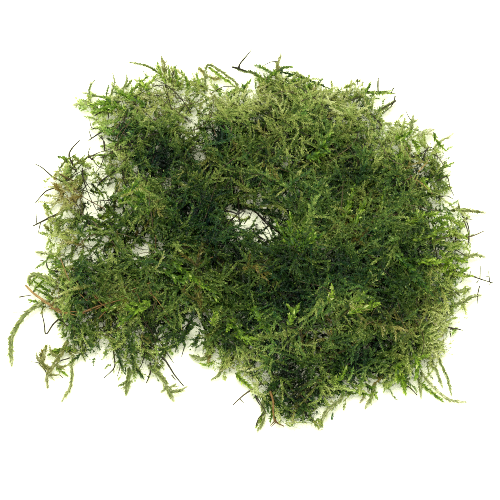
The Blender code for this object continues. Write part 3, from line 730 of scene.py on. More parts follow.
def make_piece(name, parts):
    """One mesh object from (geometry, material) pairs."""
    points, faces, uvs, slots = [], [], [], []
    first = 0
    materials = []
    for (part_points, part_faces, part_uv), part_material in parts:
        if part_material not in materials:
            materials.append(part_material)
        points.append(part_points)
        faces.append(part_faces + first)
        uvs.append(part_uv)
        slots.append(np.full(len(part_faces), materials.index(part_material)))
        first += len(part_points)
    points, faces, uvs, slots = (np.concatenate(values) for values in (points, faces, uvs, slots))
    mesh = bpy.data.meshes.new(name)
    mesh.vertices.add(len(points))
    mesh.vertices.foreach_set("co", points.astype(np.float32).ravel())
    mesh.loops.add(faces.size)
    mesh.loops.foreach_set("vertex_index", faces.astype(np.int32).ravel())
    mesh.polygons.add(len(faces))
    mesh.polygons.foreach_set("loop_start", np.arange(0, faces.size, 3, dtype=np.int32))
    mesh.polygons.foreach_set("material_index", slots.astype(np.int32))
    mesh.polygons.foreach_set("use_smooth", np.ones(len(faces), bool))
    layer = mesh.uv_layers.new(name=UV_NAME)
    layer.data.foreach_set("uv", uvs.astype(np.float32).ravel())
    for material in materials:
        mesh.materials.append(material)
    mesh.update()
    mesh.validate()
    piece = bpy.data.objects.new(name, mesh)
    bpy.context.scene.collection.objects.link(piece)
    return piece


def srgb(code):
    """A linear colour from an sRGB hex value."""
    parts = [int(code[i : i + 2], 16) / 255 for i in (1, 3, 5)]
    return (*(c / 12.92 if c <= 0.04045 else ((c + 0.055) / 1.055) ** 2.4 for c in parts), 1)


def add_node(tree, kind, settings=None, links=None, values=None, stops=()):
    """A node with its settings, the links into it, its sockets' values and its colour stops."""
    node = tree.nodes.new(kind)
    for key, value in (settings or {}).items():
        setattr(node, key, value)
    for key, value in (values or {}).items():
        node.inputs[key].default_value = value
    for key, socket in (links or {}).items():
        tree.links.new(socket, node.inputs[key])
    if stops:
        elements = node.color_ramp.elements
        while len(elements) < len(stops):
            elements.new(0.5)
        for element, (place, code) in zip(elements, stops):
            element.position = place
            element.color = srgb(code)
    return node


def new_material(name):
    material = bpy.data.materials.new(name)
    material.use_nodes = True
    material.node_tree.nodes.clear()
    return material


def map_places(tree):
    """The tone map's column and row as shares, and the place inside the cell."""
    uv = add_node(tree, "ShaderNodeUVMap", {"uv_map": UV_NAME})
    split = add_node(tree, "ShaderNodeSeparateXYZ", links={"Vector": uv.outputs["UV"]})
    found = []
    for axis in ("X", "Y"):
        scaled = add_node(
            tree, "ShaderNodeMath", {"operation": "MULTIPLY"}, {0: split.outputs[axis]}, {1: CELLS}
        )
        cell = add_node(tree, "ShaderNodeMath", {"operation": "FLOOR"}, {0: scaled.outputs[0]})
        share = add_node(
            tree, "ShaderNodeMath", {"operation": "DIVIDE"}, {0: cell.outputs[0]}, {1: CELLS - 1}
        )
        in_cell = add_node(tree, "ShaderNodeMath", {"operation": "FRACT"}, {0: scaled.outputs[0]})
        found.append((share.outputs[0], in_cell.outputs[0]))
    return found


# Leaf colours from the darkest tone to the palest: bluish in deep shade, and brown on old growth
COOL_GREENS = (
    (0.0, "#05140E"), (0.25, "#0B3224"), (0.5, "#23582C"), (0.75, "#5A8A30"), (1.0, "#A9C25F"),
)
OLD_BROWNS = (
    (0.0, "#100B05"), (0.3, "#3D310F"), (0.6, "#746521"), (0.85, "#978A4D"), (1.0, "#C3BD9C"),
)
RING_TURNS = 40.0  # radians of the faint rings along one stem
STEM_ROUGHNESS = 0.45


def wet_moss_leaf(name, fresh_stops):
    """Thin wet moss leaves. One layer of cells lets light through, so they glow lime against the table
    and go deep green where they lie on each other, and the film of water gives them small sharp glints."""
    material = new_material(name)
    tree = material.node_tree
    (column, across), (row, lengthwise) = map_places(tree)
    cool = add_node(tree, "ShaderNodeValToRGB", links={"Fac": column}, stops=COOL_GREENS)
    fresh = add_node(tree, "ShaderNodeValToRGB", links={"Fac": column}, stops=fresh_stops)
    old = add_node(tree, "ShaderNodeValToRGB", links={"Fac": column}, stops=OLD_BROWNS)
    # Low warmth mixes in the bluish greens: painted shade where the dark hollows lie, and a random share
    # elsewhere
    fresh_over_bluish = add_node(
        tree, "ShaderNodeMapRange", {"clamp": True}, {"Value": row},
        {"From Min": 0.05, "From Max": 0.34},
    )
    browning = add_node(
        tree, "ShaderNodeMapRange", {"clamp": True}, {"Value": row},
        {"From Min": 0.42, "From Max": 0.85},
    )
    green = add_node(
        tree, "ShaderNodeMix", {"data_type": "RGBA"},
        {0: fresh_over_bluish.outputs["Result"], 6: cool.outputs["Color"], 7: fresh.outputs["Color"]},
    )
    colour = add_node(
        tree, "ShaderNodeMix", {"data_type": "RGBA"},
        {0: browning.outputs["Result"], 6: green.outputs[2], 7: old.outputs["Color"]},
    )
    # The rib down the middle is paler, and the base darker
    off_middle = add_node(tree, "ShaderNodeMath", {"operation": "SUBTRACT"}, {0: across}, {1: 0.5})
    off_rib = add_node(tree, "ShaderNodeMath", {"operation": "ABSOLUTE"}, {0: off_middle.outputs[0]})
    rib = add_node(
        tree, "ShaderNodeMapRange", {"clamp": True}, {"Value": off_rib.outputs[0]},
        {"From Min": 0.05, "From Max": 0.12, "To Min": 1.16, "To Max": 1.0},
    )
    base = add_node(
        tree, "ShaderNodeMapRange", {"clamp": True}, {"Value": lengthwise},
        {"From Min": 0.05, "From Max": 0.8, "To Min": 0.6, "To Max": 1.15},
    )
    shade = add_node(
        tree, "ShaderNodeMath", {"operation": "MULTIPLY"},
        {0: rib.outputs["Result"], 1: base.outputs["Result"]},
    )
    shaded = add_node(
        tree, "ShaderNodeVectorMath", {"operation": "SCALE"},
        {"Vector": colour.outputs[2], "Scale": shade.outputs[0]},
    )
    ridge = add_node(
        tree, "ShaderNodeBump", links={"Height": rib.outputs["Result"]},
        values={"Strength": 0.25, "Distance": 0.05 * MM},
    )
    wetness = add_node(
        tree, "ShaderNodeMapRange", links={"Value": lengthwise},
        values={"To Min": 0.46, "To Max": 0.30},
    )
    surface = add_node(
        tree, "ShaderNodeBsdfPrincipled",
        links={
            "Base Color": shaded.outputs["Vector"],
            "Roughness": wetness.outputs["Result"],
            "Normal": ridge.outputs["Normal"],
        },
        values={"IOR": 1.4, "Specular IOR Level": 0.32},
    )
    glow = add_node(tree, "ShaderNodeBsdfTranslucent", links={"Color": shaded.outputs["Vector"]})
    mixed = add_node(
        tree, "ShaderNodeMixShader", values={0: 0.42},
        links={1: surface.outputs["BSDF"], 2: glow.outputs["BSDF"]},
    )
    add_node(tree, "ShaderNodeOutputMaterial", links={"Surface": mixed.outputs["Shader"]})
    return material


def stem_skin(name, stops):
    """The skin of thin moss stems: faint rings of lighter and darker tone along it and a dull wet sheen,
    so that a stem reads as a grown thing and not as a wire."""
    material = new_material(name)
    tree = material.node_tree
    (column, _), (_, lengthwise) = map_places(tree)
    colour = add_node(tree, "ShaderNodeValToRGB", links={"Fac": column}, stops=stops)
    scaled = add_node(tree, "ShaderNodeMath", {"operation": "MULTIPLY"}, {0: lengthwise}, {1: RING_TURNS})
    rings = add_node(tree, "ShaderNodeMath", {"operation": "SINE"}, {0: scaled.outputs[0]})
    shade = add_node(
        tree, "ShaderNodeMapRange", links={"Value": rings.outputs[0]},
        values={"From Min": -1.0, "From Max": 1.0, "To Min": 0.8, "To Max": 1.15},
    )
    shaded = add_node(
        tree, "ShaderNodeVectorMath", {"operation": "SCALE"},
        {"Vector": colour.outputs["Color"], "Scale": shade.outputs["Result"]},
    )
    surface = add_node(
        tree, "ShaderNodeBsdfPrincipled", links={"Base Color": shaded.outputs["Vector"]},
        values={"Roughness": STEM_ROUGHNESS, "IOR": 1.45, "Specular IOR Level": 0.2},
    )
    add_node(tree, "ShaderNodeOutputMaterial", links={"Surface": surface.outputs["BSDF"]})
    return material


def moss_skins():
    """The finishes of leaves and stems, by the part of the plant."""
    return {
        # Grown leaves of the tangle: nearly black green where painted shade darkens its depth, olive where
        # painted light falls on its top
        "leaf": wet_moss_leaf("wet_moss_leaf", (
            (0.0, "#081704"), (0.2, "#1C3A0A"), (0.45, "#425F1D"), (0.7, "#738A38"),
            (0.88, "#A6B25A"), (1.0, "#CED499"),
        )),
        # Leaves of the sprays that catch the light: purer green, so that they stand out from the tangle
        "bright_leaf": wet_moss_leaf("bright_moss_leaf", (
            (0.0, "#091606"), (0.2, "#1C380C"), (0.45, "#45680F"), (0.7, "#789A26"),
            (0.88, "#A2BA44"), (1.0, "#C8D480"),
        )),
        # Young leaves of the fronds past the rim: paler and greyer, with the white table behind them
        "young_leaf": wet_moss_leaf("young_moss_leaf", (
            (0.0, "#091606"), (0.2, "#1E340F"), (0.45, "#4A5F24"), (0.7, "#788748"),
            (0.88, "#A6AD74"), (1.0, "#CFD1AC"),
        )),
        # Stems that carry leaves: dull olive, darker than the leaves, so that a shoot shows its middle
        "leaf_stem": stem_skin(
            "green_brown_moss_stem", ((0.0, "#111A05"), (0.5, "#384316"), (1.0, "#7A8340"))
        ),
        # Old stems without leaves: blackish brown lines over the gaps and past the rim
        "bare_stem": stem_skin(
            "dark_old_stem", ((0.0, "#110D07"), (0.5, "#2B2415"), (1.0, "#5E5136"))
        ),
        # Dead stems: orange brown, the only warm lines in the green
        "rusty_stem": stem_skin(
            "orange_brown_stem", ((0.0, "#3A2A13"), (0.5, "#6C5128"), (1.0, "#AC8D55"))
        ),
    }


# Where a layer is cut into pieces along X, in metres
WHOLE = (-1, 1)
TOP_BORDERS = (-1, -0.012, 0.022, 1)


def add_mat(form, skins):
    """The pieces that stand for the mat."""
    tangle = Tangle(form, TANGLE_SEED)
    rng = tangle.rng
    inside = (form.to_rim > 0) & (form.to_gap > 0)
    x, y = form.cell_places()
    share_left = 1 - tangle.missing(np.stack([x, y, form.top], -1))
    loose = np.clip(tangle.loose(x, y), 0, 0.9)
    from_rim = np.clip(form.to_rim / (9 * MM), 0, 1)
    top_weights = np.where(inside, share_left * (1 - 0.45 * loose) * (0.5 + 0.5 * from_rim), 0.0)
    heart_weights = np.where(inside, share_left * (1 - loose) ** 2 * from_rim, 0.0)
    just_outside = (form.to_rim < 0) & (form.to_rim > -4 * MM)
    fringe_weights = np.where(just_outside, np.exp(form.to_rim / (1.2 * MM)), 0.0)
    skirt_weights = np.where(inside, share_left * (1 - 0.5 * loose) * np.exp(-form.to_rim / (4 * MM)), 0.0)
    # Each layer, where its tips lie, how deep, how far they lift, how its shoots are turned, and whether
    # it hangs out over the rim
    layers = (
        (
            Layer("top", 960, 9 * MM, 22 * MM, 120, 8.6, 0.88, 1.3 * MM, SPLINTER, TOP_BORDERS),
            top_weights,
            lambda n: rng.exponential(1.1, n) * MM,
            lambda n: rng.normal(0.6, 0.9, n) * MM, 0.45, False,
        ),
        (
            Layer("fringe", 300, 7 * MM, 16 * MM, 120, 9.0, 0.95, 2.0 * MM, BLADE, WHOLE),
            fringe_weights,
            lambda n: rng.uniform(0, 2.8, n) * MM,
            lambda n: rng.normal(-0.2, 0.6, n) * MM, 0.35, True,
        ),
        (
            Layer("skirt", 260, 8 * MM, 16 * MM, 120, 5.0, 1.1, 2.0 * MM, SPLINTER, WHOLE),
            skirt_weights,
            lambda n: rng.uniform(1.5, 6.0, n) * MM,
            lambda n: rng.normal(0.0, 0.8, n) * MM, 0.5, False,
        ),
        (
            Layer("heart", 520, 10 * MM, 22 * MM, 60, 3.2, 1.6, 2.2 * MM, SPLINTER, WHOLE),
            heart_weights,
            lambda n: rng.uniform(2.5, 14.0, n) * MM,
            lambda n: rng.normal(0, 0.8, n) * MM, 0.6, False,
        ),
        (
            Layer("foot", 260, 10 * MM, 22 * MM, 45, 3.2, 1.5, 2.2 * MM, SPLINTER, WHOLE),
            heart_weights,
            lambda n: np.full(n, 30.0) * MM,
            lambda n: rng.normal(0.2, 0.3, n) * MM, 0.3, False,
        ),
    )
    stems = []
    for layer, weights, depths, lifts, scatter, is_fringe in layers:
        strands, sides = tangle.grow(
            layer, weights, depths(layer.strands), lifts(layer.strands), scatter, is_fringe
        )
        for i, (low, high) in enumerate(zip(layer.borders, layer.borders[1:])):
            parts = []
            for shoots in (strands, sides):
                middle = shoots.paths[:, shoots.paths.shape[1] // 2, 0]
                mine = chosen(shoots, (middle >= low) & (middle < high))
                leaves = tangle.leaves(mine, layer.leaves_per_mm)
                parts.append((leaf_geometry(leaves, layer.shape), skins["leaf"]))
            finish_piece(make_piece(f"tangle_{layer.name}_{i}", parts), "moss_mat")
        strands = tangle.stem_toned(strands)
        sides = tangle.stem_toned(sides)
        stem_sides = 3 if is_fringe else 2
        stems.append((stem_geometry(strands, STEM_THICKNESS, stem_sides, LEAF_STEM_ROW), skins["leaf_stem"]))
        coarse = sides._replace(paths=sides.paths[:, ::2])
        stems.append((stem_geometry(coarse, 0.8 * STEM_THICKNESS, 2, LEAF_STEM_ROW), skins["leaf_stem"]))
    stems += bare_stems(tangle, top_weights, skins)
    stems += seen_stems(tangle, skins)
    finish_piece(make_piece("tangle_stems", stems), "moss_mat")
    finish_piece(make_piece("tangle_sprays", seen_sprays(tangle, skins)), "moss_mat")


def bare_stems(tangle, weights, skins):
    """Old stems without leaves that lie between the shoots, most of them at the left and along the rim."""
    form, rng = tangle.form, tangle.rng
    x, y = form.cell_places()
    from_rim = np.clip(form.to_rim / (9 * MM), 0, 1)
    dark_weights = np.where(weights > 0, 0.15 + tangle.loose(x, y) + 0.4 * (1 - from_rim), 0.0)
    near_left = spotted(RUSTY_SPOTS, MIDDLE_TOP)(x, y)
    rusty_weights = np.where(weights > 0, near_left, 0.0)
    found = []
    for key, count, place_weights in (("bare_stem", 200, dark_weights), ("rusty_stem", 10, rusty_weights)):
        layer = Layer(key, count, 6 * MM, 19 * MM, 60, 0, 0, 0, None, WHOLE)
        plans = tangle.strand_plans(layer, place_weights, False)
        paths = tangle.raised(plans, rng.uniform(-0.6, 1.2, count) * MM, rng.normal(0.6, 1.0, count) * MM)
        shoots = Shoots(paths, np.tile((0.0, 0.0, 1.0), (count, 1)), rng.uniform(0.1, 0.9, count), None, None)
        middles = paths[:, paths.shape[1] // 2]
        keep = tangle.clearing_rng.random(count) > 1.1 * tangle.missing(middles, CLEARED)
        shoots = chosen(shoots._replace(warmths=shoots.tones, sizes=shoots.tones), keep)
        thickness = rng.uniform(0.24, 0.42, len(shoots.tones)) * MM
        row = BARE_STEM_ROW if key == "bare_stem" else RUSTY_STEM_ROW
        found.append((stem_geometry(shoots, thickness, 3, row), skins[key]))
    return found


Spray = namedtuple("Spray", "path width side tone warmth lift")

# Leafy shoots that stand out on the top and at the rim: path in pixels; width over the leaves, longest
# side shoot and lift above the top in millimetres
SPRAYS = (
    Spray(((346, 314), (360, 308), (377, 303)), 1.7, 4.5, 0.72, 0.40, 0.8),
    Spray(((352, 302), (362, 297), (371, 297)), 1.5, 3.0, 0.66, 0.38, 0.6),
    Spray(((288, 325), (293, 314), (299, 304)), 1.6, 3.5, 0.70, 0.40, 0.7),
    Spray(((226, 317), (238, 329), (251, 344)), 1.6, 3.6, 0.60, 0.40, 1.0),
    Spray(((232, 332), (244, 337), (256, 338)), 1.6, 3.5, 0.64, 0.42, 0.6),
    Spray(((172, 261), (186, 273), (200, 283), (211, 288), (217, 300)), 1.8, 2.6, 0.62, 0.34, 0.8),
    Spray(((164, 270), (176, 277), (187, 282)), 1.6, 3.0, 0.56, 0.30, 0.6),
    Spray(((344, 219), (349, 204), (354, 187)), 1.9, 2.2, 0.62, 0.44, 0.8),
    Spray(((352, 228), (359, 214), (364, 202)), 1.9, 3.0, 0.68, 0.42, 0.8),
    Spray(((378, 212), (382, 201), (384, 189)), 1.6, 2.5, 0.58, 0.46, 0.6),
    Spray(((152, 300), (137, 311), (120, 324)), 1.8, 4.0, 0.62, 0.40, 0.8),
    Spray(((128, 296), (118, 305), (104, 310)), 1.6, 3.0, 0.56, 0.38, 0.6),
    Spray(((394, 362), (401, 377), (404, 392)), 1.8, 3.5, 0.74, 0.40, 0.6),
    Spray(((412, 350), (416, 364), (414, 378)), 1.7, 3.5, 0.68, 0.42, 0.6),
    Spray(((292, 248), (283, 234), (276, 222)), 1.8, 3.5, 0.58, 0.26, 1.0),
    Spray(((293, 248), (291, 232), (290, 214)), 1.8, 3.5, 0.60, 0.28, 1.2),
    Spray(((294, 249), (302, 234), (307, 218)), 1.8, 3.5, 0.60, 0.28, 1.0),
    Spray(((296, 250), (309, 241), (322, 234)), 1.8, 3.5, 0.54, 0.28, 0.8),
    Spray(((120, 208), (129, 194), (138, 181)), 1.7, 3.5, 0.58, 0.30, 0.8),
    Spray(((134, 212), (142, 199), (149, 188)), 1.7, 3.5, 0.56, 0.28, 0.8),
    Spray(((150, 216), (147, 202), (140, 192)), 1.7, 3.0, 0.54, 0.28, 0.6),
    Spray(((392, 252), (408, 268), (421, 283), (431, 296)), 1.8, 4.0, 0.50, 0.22, 1.0),
    Spray(((404, 225), (420, 217), (437, 213)), 1.6, 3.0, 0.70, 0.46, 0.6),
    Spray(((410, 240), (428, 236), (446, 229)), 1.6, 3.0, 0.70, 0.46, 0.6),
    Spray(((414, 262), (432, 262), (449, 262)), 1.7, 3.0, 0.70, 0.42, 0.6),
    Spray(((272, 331), (259, 316), (246, 303)), 1.6, 3.0, 0.54, 0.34, 0.6),
    Spray(((327, 302), (331, 294), (331, 286)), 1.6, 2.5, 0.80, 0.46, 0.8),
    Spray(((212, 326), (215, 316), (221, 307)), 1.6, 2.5, 0.78, 0.44, 0.8),
    Spray(((274, 69), (286, 72), (302, 77), (316, 82), (330, 88)), 0.9, 1.4, 0.40, 0.34, -0.6),
    Spray(((118, 100), (103, 103), (88, 104)), 1.6, 3.0, 0.72, 0.34, 0.4),
    Spray(((120, 106), (106, 108), (92, 112)), 1.5, 3.0, 0.70, 0.30, 0.6),
    Spray(((134, 100), (124, 94), (115, 88)), 1.4, 2.6, 0.72, 0.34, 0.4),
    Spray(((146, 104), (136, 100), (124, 99)), 1.4, 2.6, 0.64, 0.26, 0.8),
    Spray(((150, 96), (146, 88), (140, 80)), 1.4, 2.6, 0.72, 0.38, 0.4),
    Spray(((128, 112), (114, 103), (101, 96)), 1.3, 2.4, 0.66, 0.30, 0.8),
    Spray(((140, 88), (150, 82), (156, 74)), 1.2, 2.2, 0.82, 0.44, 0.4),
    Spray(((166, 84), (160, 74), (157, 62)), 1.3, 2.2, 0.84, 0.48, 0.4),
    Spray(((330, 384), (340, 376), (346, 366)), 1.5, 3.0, 0.72, 0.40, 0.6),
    Spray(((84, 232), (97, 230), (111, 236)), 1.2, 2.6, 0.50, 0.46, -0.4),
    Spray(((97, 215), (104, 217), (112, 215)), 1.5, 3.0, 0.52, 0.52, 0.0),
    Spray(((94, 232), (104, 224), (116, 220)), 1.5, 3.0, 0.46, 0.48, -0.2),
    Spray(((82, 220), (90, 218), (100, 222)), 1.4, 2.6, 0.50, 0.50, 0.0),
    Spray(((106, 204), (112, 212), (122, 218)), 1.5, 3.0, 0.48, 0.46, 0.0),
    Spray(((112, 230), (120, 226), (128, 216)), 1.5, 3.0, 0.44, 0.44, 0.0),
    Spray(((92, 184), (98, 190), (104, 198)), 1.1, 2.0, 0.52, 0.52, 0.0),
    Spray(((90, 190), (98, 193), (106, 192)), 1.1, 2.0, 0.50, 0.52, 0.0),
    Spray(((88, 237), (97, 234), (107, 235)), 1.2, 2.4, 0.50, 0.48, -0.4),
    Spray(((263, 411), (260, 418), (256, 426)), 1.1, 1.6, 0.84, 0.44, -1.6),
    Spray(((86, 348), (79, 356), (70, 363)), 1.2, 1.8, 0.50, 0.48, -1.4),
    Spray(((444, 216), (454, 222), (464, 226)), 1.4, 2.2, 0.84, 0.50, -0.6),
    Spray(((448, 272), (460, 276), (472, 276)), 1.3, 2.0, 0.86, 0.50, -1.0),
    Spray(((438, 250), (446, 262), (450, 273)), 1.4, 2.4, 0.74, 0.46, -0.4),
    Spray(((446, 232), (456, 234), (466, 238)), 1.4, 2.2, 0.84, 0.50, -0.8),
    Spray(((130, 236), (137, 240), (142, 246)), 1.2, 2.4, 0.42, 0.42, -0.2),
    Spray(((248, 240), (251, 229), (257, 217)), 1.0, 1.7, 0.46, 0.38, -0.3),
    Spray(((268, 221), (272, 230), (276, 239)), 1.2, 2.2, 0.30, 0.30, -0.2),
    Spray(((181, 337), (189, 330), (196, 323)), 1.2, 2.0, 0.36, 0.36, -0.4),
    Spray(((268, 226), (262, 231), (254, 234)), 1.1, 2.0, 0.28, 0.30, -0.2),
    Spray(((428, 234), (437, 229), (446, 222)), 1.6, 3.2, 0.66, 0.44, 0.0),
    Spray(((430, 224), (439, 219), (448, 216)), 1.6, 3.2, 0.66, 0.42, 0.0),
    Spray(((430, 244), (440, 240), (450, 232)), 1.6, 3.2, 0.66, 0.46, 0.0),
    Spray(((424, 238), (434, 238), (444, 242)), 1.5, 3.0, 0.58, 0.46, -0.4),
    Spray(((446, 256), (456, 258), (466, 262)), 1.6, 2.6, 0.74, 0.44, -1.0),
    Spray(((446, 266), (455, 267), (464, 270)), 1.6, 2.6, 0.72, 0.44, -1.2),
    Spray(((446, 250), (454, 247), (462, 242)), 1.5, 2.4, 0.74, 0.44, -1.0),
    Spray(((394, 144), (403, 137), (412, 131)), 1.5, 2.6, 0.70, 0.38, 0.0),
    Spray(((164, 342), (172, 334), (180, 324)), 1.5, 3.0, 0.36, 0.36, -0.2),
    Spray(((172, 348), (180, 340), (188, 330)), 1.5, 3.0, 0.38, 0.36, -0.4),
    Spray(((158, 330), (168, 324), (180, 316)), 1.5, 3.0, 0.40, 0.38, 0.0),
    Spray(((166, 304), (175, 313), (184, 322)), 1.5, 3.0, 0.38, 0.38, 0.0),
    Spray(((164, 316), (174, 324), (182, 332)), 1.5, 2.6, 0.36, 0.36, 0.0),
    Spray(((388, 162), (396, 157), (405, 151)), 1.5, 3.0, 0.52, 0.42, 0.0),
    Spray(((450, 233), (458, 236), (466, 238)), 1.4, 2.2, 0.74, 0.46, -1.2),
    Spray(((452, 278), (460, 273), (468, 268)), 1.4, 2.2, 0.72, 0.46, -1.4),
    Spray(((280, 390), (282, 401), (287, 412)), 1.4, 2.6, 0.42, 0.42, -0.6),
    Spray(((292, 402), (284, 409), (275, 416)), 1.4, 2.6, 0.44, 0.42, -1.0),
    Spray(((266, 392), (274, 398), (280, 406)), 1.3, 2.4, 0.38, 0.42, -0.8),
    Spray(((68, 284), (60, 278), (50, 270)), 1.5, 2.6, 0.58, 0.46, -0.8),
    Spray(((70, 270), (62, 268), (54, 264)), 1.3, 2.2, 0.62, 0.46, -0.8),
    Spray(((66, 306), (58, 301), (48, 297)), 1.4, 2.4, 0.58, 0.48, -1.2),
    Spray(((66, 324), (60, 318), (55, 309)), 1.4, 2.4, 0.54, 0.48, -1.2),
    Spray(((44, 308), (38, 302), (30, 300)), 1.2, 2.0, 0.70, 0.46, -1.6),
    Spray(((268, 394), (271, 403), (275, 412)), 1.3, 2.4, 0.44, 0.42, -1.2),
    Spray(((364, 382), (371, 389), (376, 397)), 1.4, 2.2, 0.62, 0.42, -1.4),
    Spray(((274, 74), (283, 67), (292, 66)), 1.2, 1.6, 0.56, 0.36, -0.8),
    Spray(((90, 224), (104, 226), (118, 228)), 1.2, 2.6, 0.50, 0.48, -0.2),
    Spray(((96, 238), (106, 230), (114, 220)), 1.1, 2.2, 0.44, 0.44, -0.6),
    Spray(((84, 240), (96, 240), (108, 244)), 1.1, 2.2, 0.48, 0.46, -0.8),
    Spray(((114, 240), (122, 234), (128, 226)), 1.1, 2.2, 0.44, 0.40, -0.6),
    Spray(((92, 250), (100, 242), (104, 232)), 1.0, 2.0, 0.48, 0.44, -0.8),
    Spray(((104, 250), (112, 244), (122, 242)), 1.0, 2.0, 0.44, 0.44, -0.8),
    Spray(((102, 128), (112, 134), (122, 136)), 1.2, 2.0, 0.40, 0.38, -0.4),
    Spray(((106, 138), (116, 142), (128, 140)), 1.2, 2.0, 0.46, 0.42, -0.2),
    Spray(((60, 168), (66, 160), (74, 156)), 0.9, 1.4, 0.66, 0.62, 0.0),
    Spray(((70, 170), (78, 162), (84, 156)), 0.9, 1.4, 0.62, 0.62, 0.0),
    Spray(((80, 166), (86, 158), (96, 154)), 0.9, 1.4, 0.64, 0.60, 0.0),
    Spray(((162, 312), (170, 320), (178, 326)), 1.3, 2.2, 0.38, 0.36, 0.0),
    Spray(((86, 326), (82, 336), (78, 344)), 1.2, 1.8, 0.42, 0.44, -0.4),
    Spray(((78, 322), (74, 332), (76, 342)), 1.2, 1.8, 0.42, 0.44, -0.6),
    Spray(((286, 88), (294, 80), (304, 78)), 1.2, 2.2, 0.60, 0.36, -0.2),
    Spray(((302, 92), (310, 84), (320, 84)), 1.2, 2.2, 0.62, 0.38, -0.2),
    Spray(((268, 400), (272, 410), (270, 420)), 1.2, 1.8, 0.50, 0.42, -1.6),
    Spray(((34, 292), (40, 284), (48, 280)), 1.2, 1.6, 0.72, 0.48, -1.2),
    Spray(((30, 286), (34, 280), (42, 274)), 1.2, 1.4, 0.72, 0.46, -1.4),
    Spray(((434, 132), (438, 142), (446, 150)), 1.2, 1.8, 0.74, 0.42, -0.6),
    Spray(((318, 150), (326, 142), (331, 131)), 1.8, 4.0, 0.60, 0.30, 0.8),
    Spray(((306, 160), (316, 154), (328, 152)), 1.8, 4.0, 0.58, 0.28, 0.8),
    Spray(((80, 350), (66, 349), (52, 350)), 1.5, 2.0, 0.66, 0.52, -1.4),
    Spray(((133, 358), (138, 368), (144, 377)), 1.4, 1.2, 0.42, 0.40, -1.8),
    Spray(((72, 348), (63, 350), (54, 352), (50, 354)), 1.6, 1.4, 0.68, 0.56, -2.4),
    Spray(((56, 362), (62, 370), (69, 375)), 1.3, 0.9, 0.84, 0.44, -3.0),
    Spray(((44, 364), (43, 356), (47, 347)), 1.9, 1.6, 0.64, 0.75, -3.0),
    Spray(((235, 372), (243, 380), (251, 387), (256, 389)), 1.4, 1.2, 0.80, 0.42, -2.0),
    Spray(((216, 360), (208, 364), (201, 363)), 1.3, 1.2, 0.74, 0.42, -2.4),
    Spray(((47, 258), (54, 256), (60, 254)), 1.3, 1.0, 0.76, 0.44, -1.0),
    Spray(((44, 203), (48, 209), (52, 214)), 1.2, 1.0, 0.76, 0.48, -1.0),
    Spray(((57, 156), (66, 159), (70, 163)), 1.0, 0.9, 0.74, 0.50, 0.0),
    Spray(((178, 86), (177, 76), (174, 66)), 1.3, 1.8, 0.74, 0.44, 0.0),
    Spray(((188, 90), (186, 79), (181, 70)), 1.2, 1.8, 0.74, 0.42, 0.0),
    Spray(((196, 92), (198, 82), (196, 73)), 1.2, 1.8, 0.76, 0.42, 0.0),
    Spray(((170, 84), (169, 74), (168, 65)), 1.2, 1.8, 0.76, 0.50, 0.0),
    Spray(((52, 292), (42, 287), (34, 280)), 1.3, 1.6, 0.66, 0.44, -1.4),
    Spray(((54, 298), (46, 294), (38, 290)), 1.2, 1.4, 0.60, 0.50, -1.6),
    Spray(((54, 286), (46, 280), (40, 278)), 1.2, 1.6, 0.70, 0.42, -1.0),
    Spray(((186, 330), (192, 318), (196, 306)), 1.2, 1.6, 0.30, 0.30, -1.0),
    Spray(((176, 318), (182, 330), (184, 344)), 1.2, 2.0, 0.34, 0.34, -0.6),
    Spray(((170, 324), (178, 336), (176, 350)), 1.2, 2.0, 0.40, 0.40, -0.8),
    Spray(((268, 84), (270, 76), (276, 70)), 1.4, 2.2, 0.62, 0.40, -0.4),
    Spray(((282, 84), (288, 76), (296, 74)), 1.4, 2.2, 0.56, 0.34, -0.4),
    Spray(((262, 90), (262, 80), (258, 74)), 1.4, 2.2, 0.62, 0.38, -0.6),
    Spray(((246, 96), (244, 88), (250, 80)), 1.4, 2.2, 0.66, 0.42, -0.6),
    Spray(((232, 104), (230, 94), (236, 88)), 1.4, 2.2, 0.66, 0.42, -0.6),
    Spray(((218, 104), (220, 94), (214, 86)), 1.4, 2.2, 0.66, 0.42, -0.6),
    Spray(((258, 392), (266, 400), (268, 410)), 1.3, 1.8, 0.44, 0.36, -1.2),
    Spray(((266, 388), (276, 398), (280, 410)), 1.3, 2.0, 0.42, 0.34, -0.8),
    Spray(((352, 388), (360, 392), (370, 394)), 1.2, 1.6, 0.66, 0.40, -1.4),
    Spray(((340, 388), (350, 392), (358, 392)), 1.2, 1.6, 0.60, 0.40, -1.4),
    Spray(((452, 256), (446, 264), (440, 272)), 1.4, 2.2, 0.72, 0.40, 0.0),
    Spray(((452, 270), (444, 272), (434, 268)), 1.4, 2.2, 0.72, 0.40, 0.0),
    Spray(((412, 140), (418, 148), (416, 158)), 1.2, 2.0, 0.74, 0.42, 0.0),
    Spray(((398, 134), (408, 146), (408, 156)), 1.2, 2.2, 0.70, 0.40, 0.0),
    Spray(((180, 316), (188, 320), (200, 326)), 1.2, 1.6, 0.34, 0.34, -1.0),
    Spray(((208, 66), (215, 71), (223, 77), (229, 81), (235, 86)), 1.1, 0.8, 0.86, 0.42, -1.0),
    Spray(((128, 97), (134, 88), (141, 81), (147, 76)), 1.3, 2.4, 0.74, 0.42, 0.0),
    Spray(((367, 92), (380, 93), (392, 93)), 1.0, 1.2, 0.80, 0.42, -0.8),
    Spray(((370, 95), (384, 91), (392, 90)), 0.9, 1.0, 0.76, 0.42, -0.8),
    Spray(((419, 179), (424, 185), (429, 191)), 1.5, 2.4, 0.84, 0.42, 0.6),
    Spray(((112, 335), (118, 352), (125, 372)), 1.1, 1.2, 0.36, 0.40, -0.6),
    Spray(((128, 330), (132, 350), (135, 372)), 1.1, 1.2, 0.44, 0.44, -0.4),
    Spray(((164, 330), (166, 343), (160, 358)), 1.0, 1.2, 0.48, 0.42, -0.4),
    Spray(((92, 322), (96, 335), (92, 349)), 1.1, 1.4, 0.46, 0.44, -0.4),
